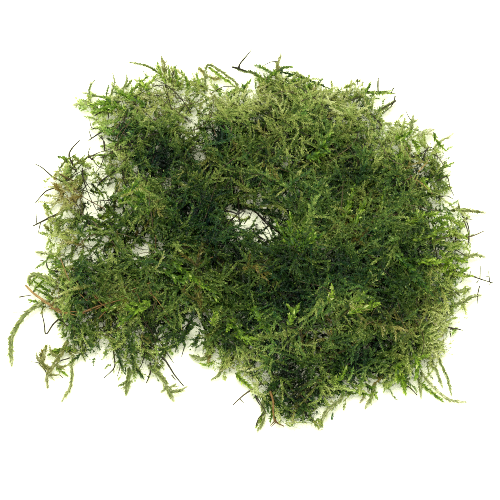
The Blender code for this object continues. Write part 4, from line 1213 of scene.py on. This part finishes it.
    Spray(((440, 168), (447, 166), (453, 163)), 1.3, 1.2, 0.72, 0.44, -0.6),
    Spray(((364, 96), (368, 89), (371, 82)), 1.3, 1.5, 0.64, 0.42, -0.4),
    Spray(((418, 382), (430, 391), (441, 400)), 1.3, 1.4, 0.72, 0.42, -3.2),
    Spray(((106, 101), (106, 93), (108, 85)), 0.9, 0.9, 0.50, 0.42, -0.4),
    Spray(((320, 329), (334, 328), (345, 325), (352, 331)), 0.6, 0.0, 0.76, 0.50, 1.2),
)

LEAFY = "leafy"
BARE = "bare"
RUSTY = "rusty"
Twig = namedtuple("Twig", "path width kind tone lift")

# Bare stems that are seen on the top, over the gaps and at the rim: path in pixels, width and lift above
# the top in millimetres
TWIGS = (
    Twig(((239, 202), (239, 213), (240, 227)), 0.42, BARE, 0.1, -0.5),
    Twig(((222, 209), (230, 211), (238, 214)), 0.34, BARE, 0.2, -0.8),
    Twig(((229, 222), (235, 216), (241, 210), (257, 207)), 0.34, BARE, 0.2, -0.8),
    Twig(((254, 211), (266, 221), (280, 233)), 0.50, BARE, 0.05, 0.0),
    Twig(((253, 231), (259, 236), (267, 241)), 0.36, BARE, 0.1, -0.5),
    Twig(((244, 224), (250, 216), (253, 209)), 0.30, BARE, 0.3, -0.8),
    Twig(((84, 311), (96, 309), (107, 303), (119, 297), (131, 295)), 0.50, RUSTY, 0.50, -0.2),
    Twig(((96, 294), (101, 300)), 0.44, RUSTY, 0.60, 0.2),
    Twig(((113, 284), (112, 293), (108, 302)), 0.38, RUSTY, 0.30, -0.2),
    Twig(((125, 298), (135, 294), (146, 289)), 0.38, RUSTY, 0.20, -0.2),
    Twig(((126, 165), (114, 172), (101, 181), (96, 190)), 0.40, BARE, 0.1, 0.6),
    Twig(((66, 181), (78, 173), (94, 166)), 0.36, BARE, 0.3, 0.6),
    Twig(((82, 168), (84, 181), (90, 197), (99, 214)), 0.38, BARE, 0.3, 0.4),
    Twig(((84, 189), (89, 184), (96, 187)), 0.34, BARE, 0.1, 0.4),
    Twig(((104, 150), (104, 142), (98, 135)), 0.40, BARE, 0.3, 0.0),
    Twig(((126, 148), (114, 151), (103, 157), (94, 158)), 0.40, BARE, 0.5, 0.6),
    Twig(((92, 160), (88, 154), (90, 147)), 0.40, BARE, 0.6, 0.4),
    Twig(((97, 128), (91, 127), (89, 119)), 0.34, BARE, 0.5, -2.0),
    Twig(((75, 170), (69, 166), (65, 158)), 0.36, BARE, 0.4, 0.0),
    Twig(((112, 132), (119, 124), (124, 116)), 0.34, BARE, 0.9, 1.2),
    Twig(((116, 138), (121, 130), (128, 124)), 0.30, BARE, 0.9, 1.2),
    Twig(((40, 363), (47, 371), (50, 386)), 0.40, BARE, 0.5, -3.4),
    Twig(((46, 364), (39, 362), (32, 361)), 0.34, BARE, 0.5, -3.0),
    Twig(((462, 222), (467, 219), (473, 220)), 0.34, BARE, 0.7, -1.5),
    Twig(((466, 220), (468, 214), (468, 210)), 0.30, BARE, 0.7, -1.5),
    Twig(((172, 75), (174, 70), (176, 64)), 0.46, BARE, 0.2, 0.0),
    Twig(((226, 118), (232, 122), (231, 132)), 0.50, BARE, 1.0, 1.0),
    Twig(((180, 330), (190, 322), (203, 312)), 0.36, BARE, 0.2, 0.0),
    Twig(((160, 340), (166, 350), (174, 362)), 0.44, BARE, 0.1, -1.0),
    Twig(((352, 100), (360, 96), (371, 90)), 0.34, BARE, 0.4, 0.0),
    Twig(((284, 250), (298, 246), (316, 250)), 0.40, BARE, 0.6, 0.8),
    Twig(((20, 297), (25, 296), (32, 295)), 0.44, BARE, 0.6, -2.0),
    Twig(((42, 305), (46, 307), (51, 306)), 0.34, BARE, 0.4, -2.6),
    Twig(((77, 349), (71, 357), (62, 360), (56, 365), (48, 374)), 0.50, BARE, 0.4, -3.0),
    Twig(((49, 374), (55, 375), (60, 374), (64, 377)), 0.50, RUSTY, 0.2, -3.4),
    Twig(((255, 395), (258, 401), (261, 405), (265, 411), (268, 413)), 0.40, BARE, 0.3, -2.6),
    Twig(((449, 331), (450, 337)), 0.46, BARE, 0.3, -2.0),
    Twig(((76, 172), (72, 162), (73, 157), (77, 153)), 0.34, BARE, 0.4, -0.4),
    Twig(((88, 158), (97, 153), (110, 149)), 0.36, BARE, 0.5, 0.4),
    Twig(((125, 168), (114, 172), (107, 177), (100, 182), (93, 182)), 0.40, BARE, 0.2, 0.4),
    Twig(((101, 136), (103, 141), (104, 150)), 0.34, BARE, 0.3, 0.2),
    Twig(((212, 92), (223, 86), (233, 86), (240, 86)), 0.34, BARE, 0.5, -0.4),
    Twig(((358, 78), (358, 84)), 0.34, BARE, 0.4, -1.0),
    Twig(((364, 81), (361, 86)), 0.34, BARE, 0.4, -1.0),
    Twig(((371, 84), (366, 91)), 0.34, BARE, 0.4, -0.8),
    Twig(((379, 77), (379, 93)), 0.32, BARE, 0.9, -1.0),
    Twig(((394, 87), (392, 93)), 0.34, BARE, 0.4, -1.4),
    Twig(((397, 100), (390, 104), (382, 108)), 0.38, BARE, 0.3, -1.0),
    Twig(((396, 95), (393, 104), (384, 113)), 0.38, BARE, 0.5, -1.4),
    Twig(((429, 147), (425, 153), (423, 159), (419, 167), (414, 172)), 0.40, BARE, 0.2, 0.2),
    Twig(((422, 153), (414, 157), (411, 159)), 0.34, BARE, 0.4, 0.2),
    Twig(((433, 151), (437, 157)), 0.34, BARE, 0.4, 0.2),
    Twig(((447, 176), (437, 180)), 0.34, BARE, 0.4, 0.2),
    Twig(((408, 174), (412, 178), (415, 183)), 0.38, RUSTY, 0.1, 0.6),
    Twig(((464, 221), (467, 229), (469, 238), (468, 245), (465, 247)), 0.40, BARE, 0.6, -1.6),
    Twig(((462, 280), (459, 283)), 0.36, BARE, 0.4, -1.6),
    Twig(((474, 276), (479, 276)), 0.30, BARE, 0.4, -2.4),
    Twig(((485, 277), (489, 276)), 0.30, BARE, 0.4, -2.8),
    Twig(((476, 283), (478, 280)), 0.30, BARE, 0.4, -2.4),
    Twig(((490, 282), (489, 285)), 0.30, BARE, 0.4, -2.8),
    Twig(((157, 362), (151, 371), (148, 380)), 0.46, BARE, 0.2, -2.6),
    Twig(((172, 374), (176, 379)), 0.36, BARE, 0.3, -3.2),
    Twig(((186, 343), (184, 349), (182, 356)), 0.40, BARE, 0.3, -1.6),
    Twig(((449, 329), (455, 328), (462, 330)), 0.36, BARE, 0.5, -2.6),
    Twig(((479, 286), (477, 294), (477, 304)), 0.34, BARE, 0.4, -2.4),
    Twig(((222, 206), (229, 214), (233, 224)), 0.30, BARE, 0.3, -0.4),
    Twig(((246, 205), (244, 213), (236, 222)), 0.32, BARE, 0.2, -0.2),
    Twig(((262, 222), (268, 230), (272, 240)), 0.30, BARE, 0.3, -0.4),
    Twig(((82, 176), (88, 185), (95, 195)), 0.34, BARE, 0.3, 0.2),
    Twig(((79, 188), (88, 192), (98, 197)), 0.32, BARE, 0.4, 0.2),
    Twig(((92, 158), (98, 166), (110, 171)), 0.34, BARE, 0.3, 0.2),
    Twig(((104, 155), (101, 165), (94, 175)), 0.34, BARE, 0.5, 0.2),
    Twig(((60, 174), (72, 180), (84, 180)), 0.38, RUSTY, 0.1, 0.4),
    Twig(((132, 244), (141, 249), (152, 250)), 0.30, BARE, 0.4, -0.6),
    Twig(((80, 248), (90, 246), (104, 252)), 0.30, BARE, 0.3, -0.4),
    Twig(((146, 352), (143, 362), (138, 372)), 0.40, BARE, 0.3, -1.6),
    Twig(((118, 352), (121, 364), (118, 376)), 0.40, BARE, 0.4, -1.6),
    Twig(((142, 318), (152, 330), (157, 345)), 0.38, BARE, 0.3, 0.4),
    Twig(((42, 300), (52, 306), (60, 312), (70, 313), (78, 315)), 0.46, RUSTY, 0.6, 0.7),
    Twig(((50, 308), (58, 309), (66, 312), (74, 311), (86, 313)), 0.40, RUSTY, 0.5, 0.8),
    Twig(((52, 305), (56, 300), (57, 296)), 0.32, RUSTY, 0.4, 0.6),
    Twig(((62, 312), (64, 320), (68, 326)), 0.34, BARE, 0.6, 0.6),
    Twig(((84, 312), (98, 306), (112, 302), (128, 298)), 0.50, RUSTY, 0.4, 0.7),
    Twig(((94, 294), (102, 303), (112, 309)), 0.42, RUSTY, 0.4, 0.7),
    Twig(((100, 318), (108, 310), (122, 306)), 0.42, RUSTY, 0.3, 0.7),
    Twig(((238, 67), (241, 61), (247, 54), (251, 49)), 0.46, BARE, 0.2, -1.0),
    Twig(((232, 66), (238, 67), (246, 70)), 0.60, BARE, 0.1, -0.8),
    Twig(((270, 390), (273, 400), (273, 411), (274, 420)), 0.74, RUSTY, 0.50, 1.0),
    Twig(((274, 419), (278, 422), (283, 424)), 0.50, RUSTY, 0.22, 0.2),
    Twig(((274, 420), (270, 424)), 0.42, RUSTY, 0.22, 0.2),
    Twig(((255, 394), (260, 401), (266, 411)), 0.42, BARE, 0.2, -0.6),
    Twig(((256, 424), (259, 416), (265, 412)), 0.42, BARE, 0.3, -1.0),
    Twig(((238, 198), (239, 210), (239, 218), (241, 227)), 0.56, BARE, 0.0, 0.4),
    Twig(((222, 211), (231, 212), (239, 214), (246, 208), (256, 206)), 0.46, BARE, 0.0, 0.4),
    Twig(((228, 224), (234, 218), (240, 212)), 0.40, BARE, 0.1, 0.4),
    Twig(((257, 213), (264, 221), (271, 227), (280, 234)), 0.60, BARE, 0.0, 0.4),
    Twig(((253, 234), (260, 238), (268, 243)), 0.46, BARE, 0.0, 0.2),
    Twig(((412, 157), (421, 154), (429, 147)), 0.42, BARE, 0.2, 0.4),
    Twig(((423, 161), (425, 153), (430, 147), (436, 151), (438, 160)), 0.42, BARE, 0.2, 0.4),
    Twig(((437, 181), (447, 177), (450, 187), (454, 196)), 0.40, BARE, 0.3, 0.2),
    Twig(((439, 197), (447, 196), (453, 199)), 0.40, BARE, 0.4, 0.0),
    Twig(((462, 216), (467, 223), (469, 234), (467, 246)), 0.42, BARE, 0.3, -0.8),
    Twig(((418, 172), (430, 159)), 0.36, RUSTY, 0.8, 0.8),
    Twig(((406, 180), (413, 178), (417, 186)), 0.44, RUSTY, 0.2, 0.8),
    Twig(((416, 180), (424, 186), (432, 194)), 0.36, RUSTY, 0.8, 0.8),
)


def seen_stems(tangle, skins):
    """Geometry of the bare stems that the photograph shows one by one."""
    found = []
    for kind, key, row in ((BARE, "bare_stem", BARE_STEM_ROW), (RUSTY, "rusty_stem", RUSTY_STEM_ROW)):
        twigs = [twig for twig in TWIGS if twig.kind == kind]
        paths = [smooth_line(tangle.on_top(twig.path, twig.lift * MM), FROND_POINTS) for twig in twigs]
        tones = np.array([twig.tone for twig in twigs])
        shoots = Shoots(np.array(paths), np.tile((0.0, 0.0, 1.0), (len(twigs), 1)), tones, None, None)
        thickness = np.array([twig.width for twig in twigs]) * MM
        found.append((stem_geometry(shoots, thickness, 4, row), skins[key]))
    return found


def seen_sprays(tangle, skins):
    """Geometry of the leafy shoots that the photograph shows one by one."""
    parts = []
    for spray in SPRAYS:
        line = smooth_line(tangle.on_top(spray.path, spray.lift * MM), FROND_POINTS)
        line[..., 2] = np.maximum(line[..., 2], 0.8 * MM)
        looks = spray._replace(tone=spray.tone - 0.10)
        skin = "leaf" if spray.tone < 0.5 else "bright_leaf"
        parts += leafy_parts([line], [spray.width * MM], looks, tangle.rng, skins, spray.side * MM, skin)
    return parts


# A frond or a bare stem outside the rim follows its own solid: its path and its sprigs are in pixels, its
# width, its rise and its tip's height in millimetres
Frond = namedtuple("Frond", "name kind width rise tip path sprigs tone warmth")

# Clockwise from the upper left
FRONDS = (
    Frond("frond_upper_left_arched", LEAFY, 1.4, 1.5, 1.6,
          ((118, 99), (105, 97), (94, 95), (88, 93), (82, 92)), (((88, 93), (89, 86), (94, 79)),), 0.76, 0.3),
    Frond("frond_upper_left_upright", LEAFY, 1.0, 2.0, 3.0,
          ((110, 101), (112, 88), (114, 81), (112, 73)), (), 0.76, 0.34),
    Frond("frond_upper_left_leaning", LEAFY, 1.2, 2.0, 2.6,
          ((117, 99), (121, 90), (126, 82), (126, 74)), (), 0.76, 0.34),
    Frond("frond_top_left_slender", LEAFY, 1.2, 2.0, 2.2,
          ((160, 73), (146, 65), (129, 61)), (), 0.68, 0.38),
    Frond("frond_top_left_tuft", LEAFY, 2.4, 2.5, 4.0,
          ((165, 79), (164, 68), (161, 56)), (), 0.76, 0.56),
    Frond("frond_top_hooped", LEAFY, 1.3, 2.0, 3.1,
          ((204, 92), (205, 78), (207, 64), (217, 68), (227, 75), (236, 82), (239, 92)), (), 0.74, 0.42),
    Frond("frond_top_with_twig", LEAFY, 1.4, 1.5, 2.0,
          ((266, 80), (254, 72), (245, 70), (235, 67)),
          (((239, 68), (240, 63), (245, 57), (252, 48)),), 0.54, 0.42),
    Frond("frond_top_tuft", LEAFY, 1.3, 2.5, 3.0,
          ((277, 79), (278, 64), (281, 53)), (((279, 61), (271, 61), (263, 65)),), 0.72, 0.56),
    Frond("frond_top_right_branched", LEAFY, 1.0, 1.5, 2.0,
          ((366, 92), (381, 91), (396, 93)),
          (((379, 91), (378, 84), (379, 77)), ((391, 92), (395, 87))), 0.66, 0.42),
    Frond("frond_top_right_leaning", LEAFY, 1.6, 1.5, 1.8,
          ((375, 113), (387, 106), (396, 100)), (), 0.74, 0.36),
    Frond("frond_upper_right_upright", LEAFY, 1.6, 1.5, 2.6,
          ((411, 134), (412, 127), (413, 121), (414, 115)),
          (((412, 121), (409, 116), (406, 109)),), 0.80, 0.36),
    Frond("frond_upper_right_broad", LEAFY, 2.6, 1.5, 2.0,
          ((417, 139), (425, 132), (434, 129)), (), 0.96, 0.36),
    Frond("frond_upper_right_pale", LEAFY, 1.3, 1.0, 1.6,
          ((434, 148), (443, 140), (449, 137), (454, 133)), (), 0.90, 0.4),
    Frond("frond_right_upper", LEAFY, 1.6, 1.5, 1.6,
          ((450, 211), (460, 210), (470, 211), (485, 213)), (((460, 210), (458, 202)),), 0.72, 0.5),
    Frond("stem_right_pale", BARE, 0.5, 1.0, 1.2,
          ((460, 238), (472, 236), (484, 231)), (), 0.9, 0),
    Frond("frond_right_middle", LEAFY, 1.7, 1.0, 1.4,
          ((462, 259), (474, 255), (484, 257)), (), 0.76, 0.42),
    Frond("twig_right", BARE, 0.5, 1.0, 1.6,
          ((455, 271), (464, 274), (474, 277), (483, 280), (493, 283)),
          (((470, 276), (470, 271)), ((480, 279), (480, 266)), ((489, 281), (488, 271))), 0.4, 0),
    Frond("frond_right_short", LEAFY, 1.7, 1.0, 1.6,
          ((453, 293), (462, 291), (470, 288)), (), 0.78, 0.38),
    Frond("frond_right_lower", LEAFY, 1.8, 1.5, 1.4,
          ((445, 309), (456, 304), (464, 301), (471, 297), (480, 295)),
          (((477, 296), (479, 287)),), 0.74, 0.4),
    Frond("stem_right_lower", BARE, 0.5, 0.8, 1.0,
          ((442, 326), (453, 328), (462, 330)), (), 0.5, 0),
    Frond("frond_lower_right_outer", LEAFY, 1.3, 1.5, 1.2,
          ((435, 348), (439, 361), (443, 370), (447, 380), (450, 394)), (), 0.74, 0.34),
    Frond("frond_lower_right_inner", LEAFY, 1.4, 1.5, 1.0,
          ((428, 355), (433, 365), (437, 375), (441, 386)), (), 0.78, 0.34),
    Frond("frond_lower_right_long", LEAFY, 1.5, 1.5, 1.0,
          ((419, 371), (428, 382), (437, 391), (446, 398), (455, 400), (464, 401)), (), 0.92, 0.38),
    Frond("frond_lower_right_drooping", LEAFY, 1.6, 1.0, 1.0,
          ((415, 371), (418, 381), (420, 396)), (), 0.80, 0.34),
    Frond("stem_lower_right", BARE, 0.5, 0.8, 0.9,
          ((398, 380), (409, 387), (416, 394)), (), 0.5, 0),
    Frond("frond_bottom_right", LEAFY, 1.9, 1.0, 1.0,
          ((374, 381), (371, 395), (365, 406)), (), 0.76, 0.38),
    Frond("frond_bottom_curved", LEAFY, 1.7, 1.5, 1.0,
          ((343, 386), (340, 398), (328, 408), (322, 417), (318, 427)), (), 0.80, 0.38),
    Frond("stem_bottom_rusty", RUSTY, 0.6, 1.0, 0.9,
          ((277, 404), (275, 412), (276, 420), (284, 425)), (((276, 420), (271, 425)),), 0.4, 0),
    Frond("frond_bottom_left", LEAFY, 1.8, 1.0, 1.0,
          ((266, 394), (263, 404), (264, 412), (262, 421), (258, 429)),
          (((263, 417), (256, 424)),), 0.74, 0.4),
    Frond("twig_bottom_left", BARE, 0.6, 1.0, 0.9,
          ((262, 382), (251, 389), (245, 393), (238, 399), (233, 404)), (((239, 398), (244, 402)),), 0.7, 0),
    Frond("frond_lower_middle_short", LEAFY, 1.5, 1.0, 1.0,
          ((225, 357), (222, 367), (219, 374), (212, 379)), (), 0.74, 0.4),
    Frond("frond_lower_middle_left", LEAFY, 2.0, 1.0, 1.2,
          ((214, 350), (204, 358), (191, 355)), (), 0.74, 0.38),
    Frond("frond_lower_left_forked", LEAFY, 2.1, 1.5, 1.0,
          ((148, 364), (162, 376), (168, 387), (174, 399)),
          (((168, 387), (162, 391)), ((170, 391), (179, 390), (187, 386)), ((170, 388), (176, 383))),
          0.78, 0.40),
    Frond("stem_lower_left_long", BARE, 0.6, 1.0, 0.9,
          ((157, 352), (166, 360), (175, 374), (184, 385)), (), 0.3, 0),
    Frond("stem_lower_left_short", BARE, 0.6, 0.8, 0.9,
          ((151, 362), (151, 372), (147, 382)), (), 0.4, 0),
    Frond("frond_lower_left_tuft", LEAFY, 2.6, 1.0, 1.4,
          ((130, 366), (129, 379), (127, 393)),
          (((129, 380), (120, 385)), ((128, 384), (133, 379))), 0.70, 0.38),
    Frond("stem_lower_left_kinked", BARE, 0.5, 1.0, 0.9,
          ((113, 341), (115, 356), (115, 367), (105, 377)), (), 0.4, 0),
    Frond("frond_left_foot_short", LEAFY, 1.5, 0.8, 1.0,
          ((83, 340), (83, 352), (86, 360)), (), 0.70, 0.42),
    Frond("frond_left_foot_drooping", LEAFY, 1.6, 1.0, 1.0,
          ((76, 340), (74, 354), (73, 366), (73, 377), (71, 388), (63, 400)), (), 0.80, 0.42),
    Frond("frond_left_foot_branched", LEAFY, 1.8, 1.0, 1.2,
          ((69, 340), (63, 352), (57, 362), (51, 370), (47, 379)),
          (((50, 371), (44, 363), (46, 348)), ((49, 374), (60, 374)), ((48, 376), (49, 387)),
           ((66, 347), (72, 353), (80, 352)), ((60, 357), (53, 353), (51, 346)),
           ((56, 364), (63, 366), (71, 364)), ((45, 364), (40, 360), (38, 353))), 0.74, 0.58),
    Frond("stem_left_hooked", BARE, 0.5, 0.6, 0.8,
          ((62, 317), (54, 324), (47, 334), (45, 323), (42, 311)), (), 0.5, 0),
    Frond("frond_left_long", LEAFY, 2.0, 1.5, 1.0,
          ((60, 298), (41, 304), (29, 312), (20, 323), (14, 334), (12, 346), (13, 364)),
          (((28, 313), (14, 312)),), 0.78, 0.36),
    Frond("stem_left_rusty", RUSTY, 1.1, 0.6, 2.6,
          ((85, 311), (68, 312), (55, 307), (41, 298), (33, 292), (26, 285)), (), 0.72, 0),
    Frond("frond_left_curled", LEAFY, 2.2, 1.0, 1.8,
          ((60, 285), (50, 280), (41, 276), (33, 275), (29, 280)), (((31, 276), (30, 283), (35, 286)),),
          0.82, 0.40),
    Frond("stem_left_bent", BARE, 0.5, 1.0, 1.2,
          ((58, 272), (49, 269), (46, 262), (40, 260)), (), 0.3, 0),
    Frond("frond_left_slender", LEAFY, 1.8, 1.2, 1.4,
          ((66, 255), (51, 254), (36, 252)), (), 0.84, 0.38),
    Frond("twig_left", BARE, 0.7, 1.0, 1.4,
          ((58, 214), (47, 219), (33, 226)),
          (((37, 224), (36, 213)), ((41, 222), (38, 235))), 0.4, 0),
    Frond("stem_left_drooping", BARE, 0.5, 1.2, 1.0,
          ((61, 187), (54, 188), (46, 191), (40, 197), (35, 203)), (), 0.4, 0),
    Frond("stem_left_upper", BARE, 0.5, 1.6, 1.8,
          ((64, 182), (53, 177), (47, 172), (41, 167), (35, 164)), (), 0.4, 0),
    Frond("stem_left_top", BARE, 0.6, 1.6, 3.0,
          ((76, 170), (69, 157), (71, 149), (79, 140)), (), 0.5, 0),
    Frond("twig_upper_left", BARE, 0.6, 1.0, 1.4,
          ((108, 127), (97, 134), (88, 140)), (((91, 138), (88, 129)),), 0.3, 0),
    Frond("frond_upper_left_feathery", LEAFY, 2.4, 1.0, 1.6,
          ((98, 108), (86, 103), (73, 104)), (), 0.86, 0.32),
)
# Leafy fronds with leaflets at their sides
FEATHERY = (
    "frond_lower_left_forked", "frond_left_foot_branched", "frond_left_foot_short", "frond_bottom_left",
    "frond_bottom_curved", "frond_lower_middle_left", "frond_lower_middle_short", "frond_right_middle",
    "frond_right_upper", "frond_right_short", "frond_right_lower", "frond_left_slender",
    "frond_left_curled", "frond_top_tuft", "frond_upper_left_arched",
)
# Leafy fronds whose sprigs have lost their leaves
WITH_BARE_SPRIGS = (
    "frond_top_with_twig", "frond_top_tuft", "frond_upper_right_upright", "frond_left_long",
    "frond_right_lower",
)


def smooth_line(corners, count):
    """Points at even steps on a smooth curve through these corners."""
    corners = np.asarray(corners)
    padded = np.concatenate([corners[:1], corners, corners[-1:]])
    t = np.linspace(0, 1, 12, endpoint=False)[:, None]
    parts = []
    for before, start, end, after in zip(padded, padded[1:], padded[2:], padded[3:]):
        leave, arrive = (end - before) / 2, (after - start) / 2
        parts.append(
            start * (2 * t**3 - 3 * t**2 + 1) + leave * (t**3 - 2 * t**2 + t)
            + end * (3 * t**2 - 2 * t**3) + arrive * (t**3 - t**2)
        )
    line = np.concatenate([*parts, corners[-1:]])
    ways = np.concatenate([[0], np.cumsum(np.linalg.norm(np.diff(line, axis=0), axis=1))])
    even = np.linspace(0, ways[-1], count)
    return np.stack([np.interp(even, ways, line[:, i]) for i in range(3)], -1)


def frond_line(frond):
    """The middle line of a frond: it arches from the rim and comes down to its tip."""
    path = np.array(frond.path, float)
    steps = np.linalg.norm(np.diff(path, axis=0), axis=1)
    t = np.concatenate([[0], np.cumsum(steps)]) / steps.sum()
    height = FROND_HEIGHT + (frond.tip * MM - FROND_HEIGHT) * t**1.5
    height = height + 4 * frond.rise * MM * t**1.3 * (1 - t)
    return smooth_line(plan(path, height), FROND_POINTS)


def sprig_line(sprig, line):
    """The middle line of a side sprig: it starts on the frond's own line and rises a little."""
    gaps = [np.linalg.norm(place - plan(sprig[0], place[2])) for place in line]
    root = line[int(np.argmin(gaps))]
    ends = [plan(p, root[2] + 0.5 * MM * k) for k, p in enumerate(sprig[1:], 1)]
    return smooth_line([root, *ends], FROND_POINTS)


def leafy_parts(lines, widths, looks, rng, skins, longest_side, leaf="leaf"):
    """Geometry of leafy shoots along lines, each as broad over its leaves as its width."""
    count = len(lines)
    ups = unit(np.array((0.0, -0.15, 1.0)) + rng.normal(0, 0.2, (count, 3)))
    sizes = np.array(widths) / (2 * math.sin(FROND_SPREAD) * LEAF_LENGTH)
    warmths = np.full(count, looks.warmth + 0.08)
    shoots = Shoots(np.array(lines), ups, np.full(count, looks.tone - 0.04), warmths, sizes)
    leaves = leaves_along(shoots, 10.0, rng, FROND_SPREAD, 3 * MM, 0.8 if leaf == "young_leaf" else 1.6)
    parts = [(leaf_geometry(leaves, BLADE), skins[leaf])]
    stems = shoots._replace(tones=shoots.tones - 0.3)
    parts.append((stem_geometry(stems, 1.8 * STEM_THICKNESS, 4, LEAF_STEM_ROW), skins["leaf_stem"]))
    if longest_side:
        sides = side_shoots(shoots._replace(sizes=0.8 * sizes), 1.3 * MM, rng, longest_side)
        parts.append((leaf_geometry(leaves_along(sides, 10.0, rng), BLADE), skins[leaf]))
        parts.append((stem_geometry(sides, STEM_THICKNESS, 3, LEAF_STEM_ROW), skins["leaf_stem"]))
    return parts


def bare_part(lines, thickness, tone, kind, skins):
    """Geometry of bare stems along lines."""
    count = len(lines)
    shoots = Shoots(np.array(lines), np.tile((0.0, 0.0, 1.0), (count, 1)), np.full(count, tone), None, None)
    key, row = ("bare_stem", BARE_STEM_ROW) if kind == BARE else ("rusty_stem", RUSTY_STEM_ROW)
    return stem_geometry(shoots, np.array(thickness), 6, row), skins[key]


def add_fronds(skins):
    """The leafy fronds and the bare stems that stand out from the rim."""
    rng = np.random.default_rng(FROND_SEED)
    for frond in FRONDS:
        line = frond_line(frond)
        sprigs = [sprig_line(sprig, line) for sprig in frond.sprigs]
        if frond.kind == LEAFY:
            is_tuft = frond.width > 2.3
            width = frond.width * MM * (0.6 if is_tuft else 0.8)
            leafy_sprigs = [] if frond.name in WITH_BARE_SPRIGS else sprigs
            widths = [width] + [0.75 * width] * len(leafy_sprigs)
            longest_side = 2.6 * MM if is_tuft else (1.7 * MM if frond.name in FEATHERY else 0)
            parts = leafy_parts([line, *leafy_sprigs], widths, frond, rng, skins, longest_side, "young_leaf")
            if frond.name in WITH_BARE_SPRIGS:
                parts.append(bare_part(sprigs, [SPRIG_THICKNESS] * len(sprigs), 0.3, BARE, skins))
        else:
            thickness = [1.1 * frond.width * MM] + [SPRIG_THICKNESS] * len(sprigs)
            parts = [bare_part([line, *sprigs], thickness, frond.tone, frond.kind, skins)]
        finish_piece(make_piece(f"{frond.name}_visual", parts), frond.name)


def finish_piece(piece, node):
    """Ties a piece to the body and hides the node that it stands for."""
    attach(piece, "root")
    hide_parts(node)


def add_stage():
    """A plain pale floor."""
    # White card with a little glow of its own, so that it stays near white without hiding the shadows
    material = new_material("plain_white_table")
    tree = material.node_tree
    surface = add_node(
        tree, "ShaderNodeBsdfPrincipled",
        values={
            "Base Color": srgb("#F1F5D6"), "Roughness": 0.7, "Specular IOR Level": 0.2,
            "Emission Color": srgb("#F8FBD2"), "Emission Strength": 0.15,
        },
    )
    add_node(tree, "ShaderNodeOutputMaterial", links={"Surface": surface.outputs["BSDF"]})
    half = TABLE_SIDE / 2
    corners = [(-half, -half, 0), (half, -half, 0), (half, half, 0), (-half, half, 0)]
    mesh = bpy.data.meshes.new("table")
    mesh.from_pydata(corners, [], [(0, 1, 2, 3)])
    mesh.materials.append(material)
    table = bpy.data.objects.new("table", mesh)
    bpy.context.scene.collection.objects.link(table)


def add_light(name, place, size, energy, colour):
    """A round softbox at this place that faces the clump."""
    data = bpy.data.lights.new(name, "AREA")
    data.shape = "DISK"
    data.size = size
    data.energy = energy
    data.color = srgb(colour)[:3]
    light = bpy.data.objects.new(name, data)
    light.location = place
    light.rotation_euler = (-Vector(place)).to_track_quat("-Z", "Y").to_euler()
    bpy.context.scene.collection.objects.link(light)


def add_lights():
    """Even white studio light from all sides, and one softbox for small soft shadows."""
    world = bpy.data.worlds.new("studio")
    world.use_nodes = True
    background = world.node_tree.nodes["Background"]
    background.inputs["Color"].default_value = srgb("#FFFFFF")
    background.inputs["Strength"].default_value = 1.5
    bpy.context.scene.world = world
    add_light("softbox_above", (-0.08, 0.10, 1.1), 0.5, 12.0, "#FFFDF8")


def add_camera():
    """A camera at the photograph's angle, whose picture is as wide as the photograph."""
    aim = plan((PHOTO_SIDE_PX / 2, PHOTO_SIDE_PX / 2), 0.0)
    back = np.array((0, -math.cos(VIEW_ELEVATION), math.sin(VIEW_ELEVATION)))
    data = bpy.data.cameras.new("camera")
    data.sensor_width = 36
    data.lens = data.sensor_width * CAMERA_DISTANCE / (PHOTO_SIDE_PX * PER_PX)
    data.clip_end = 50
    camera = bpy.data.objects.new("camera", data)
    camera.location = aim + CAMERA_DISTANCE * back
    camera.rotation_euler = (math.pi / 2 - VIEW_ELEVATION, 0, 0)
    bpy.context.scene.collection.objects.link(camera)
    bpy.context.scene.camera = camera


def main():
    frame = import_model()
    scene = bpy.context.scene
    scene.view_settings.view_transform = "Standard"
    scene.cycles.use_denoising = False
    scene.cycles.filter_width = 1.0
    skins = moss_skins()
    form = Form(frame["nodes"]["moss_mat"])
    add_mat(form, skins)
    add_fronds(skins)
    add_stage()
    add_lights()
    add_camera()


main()
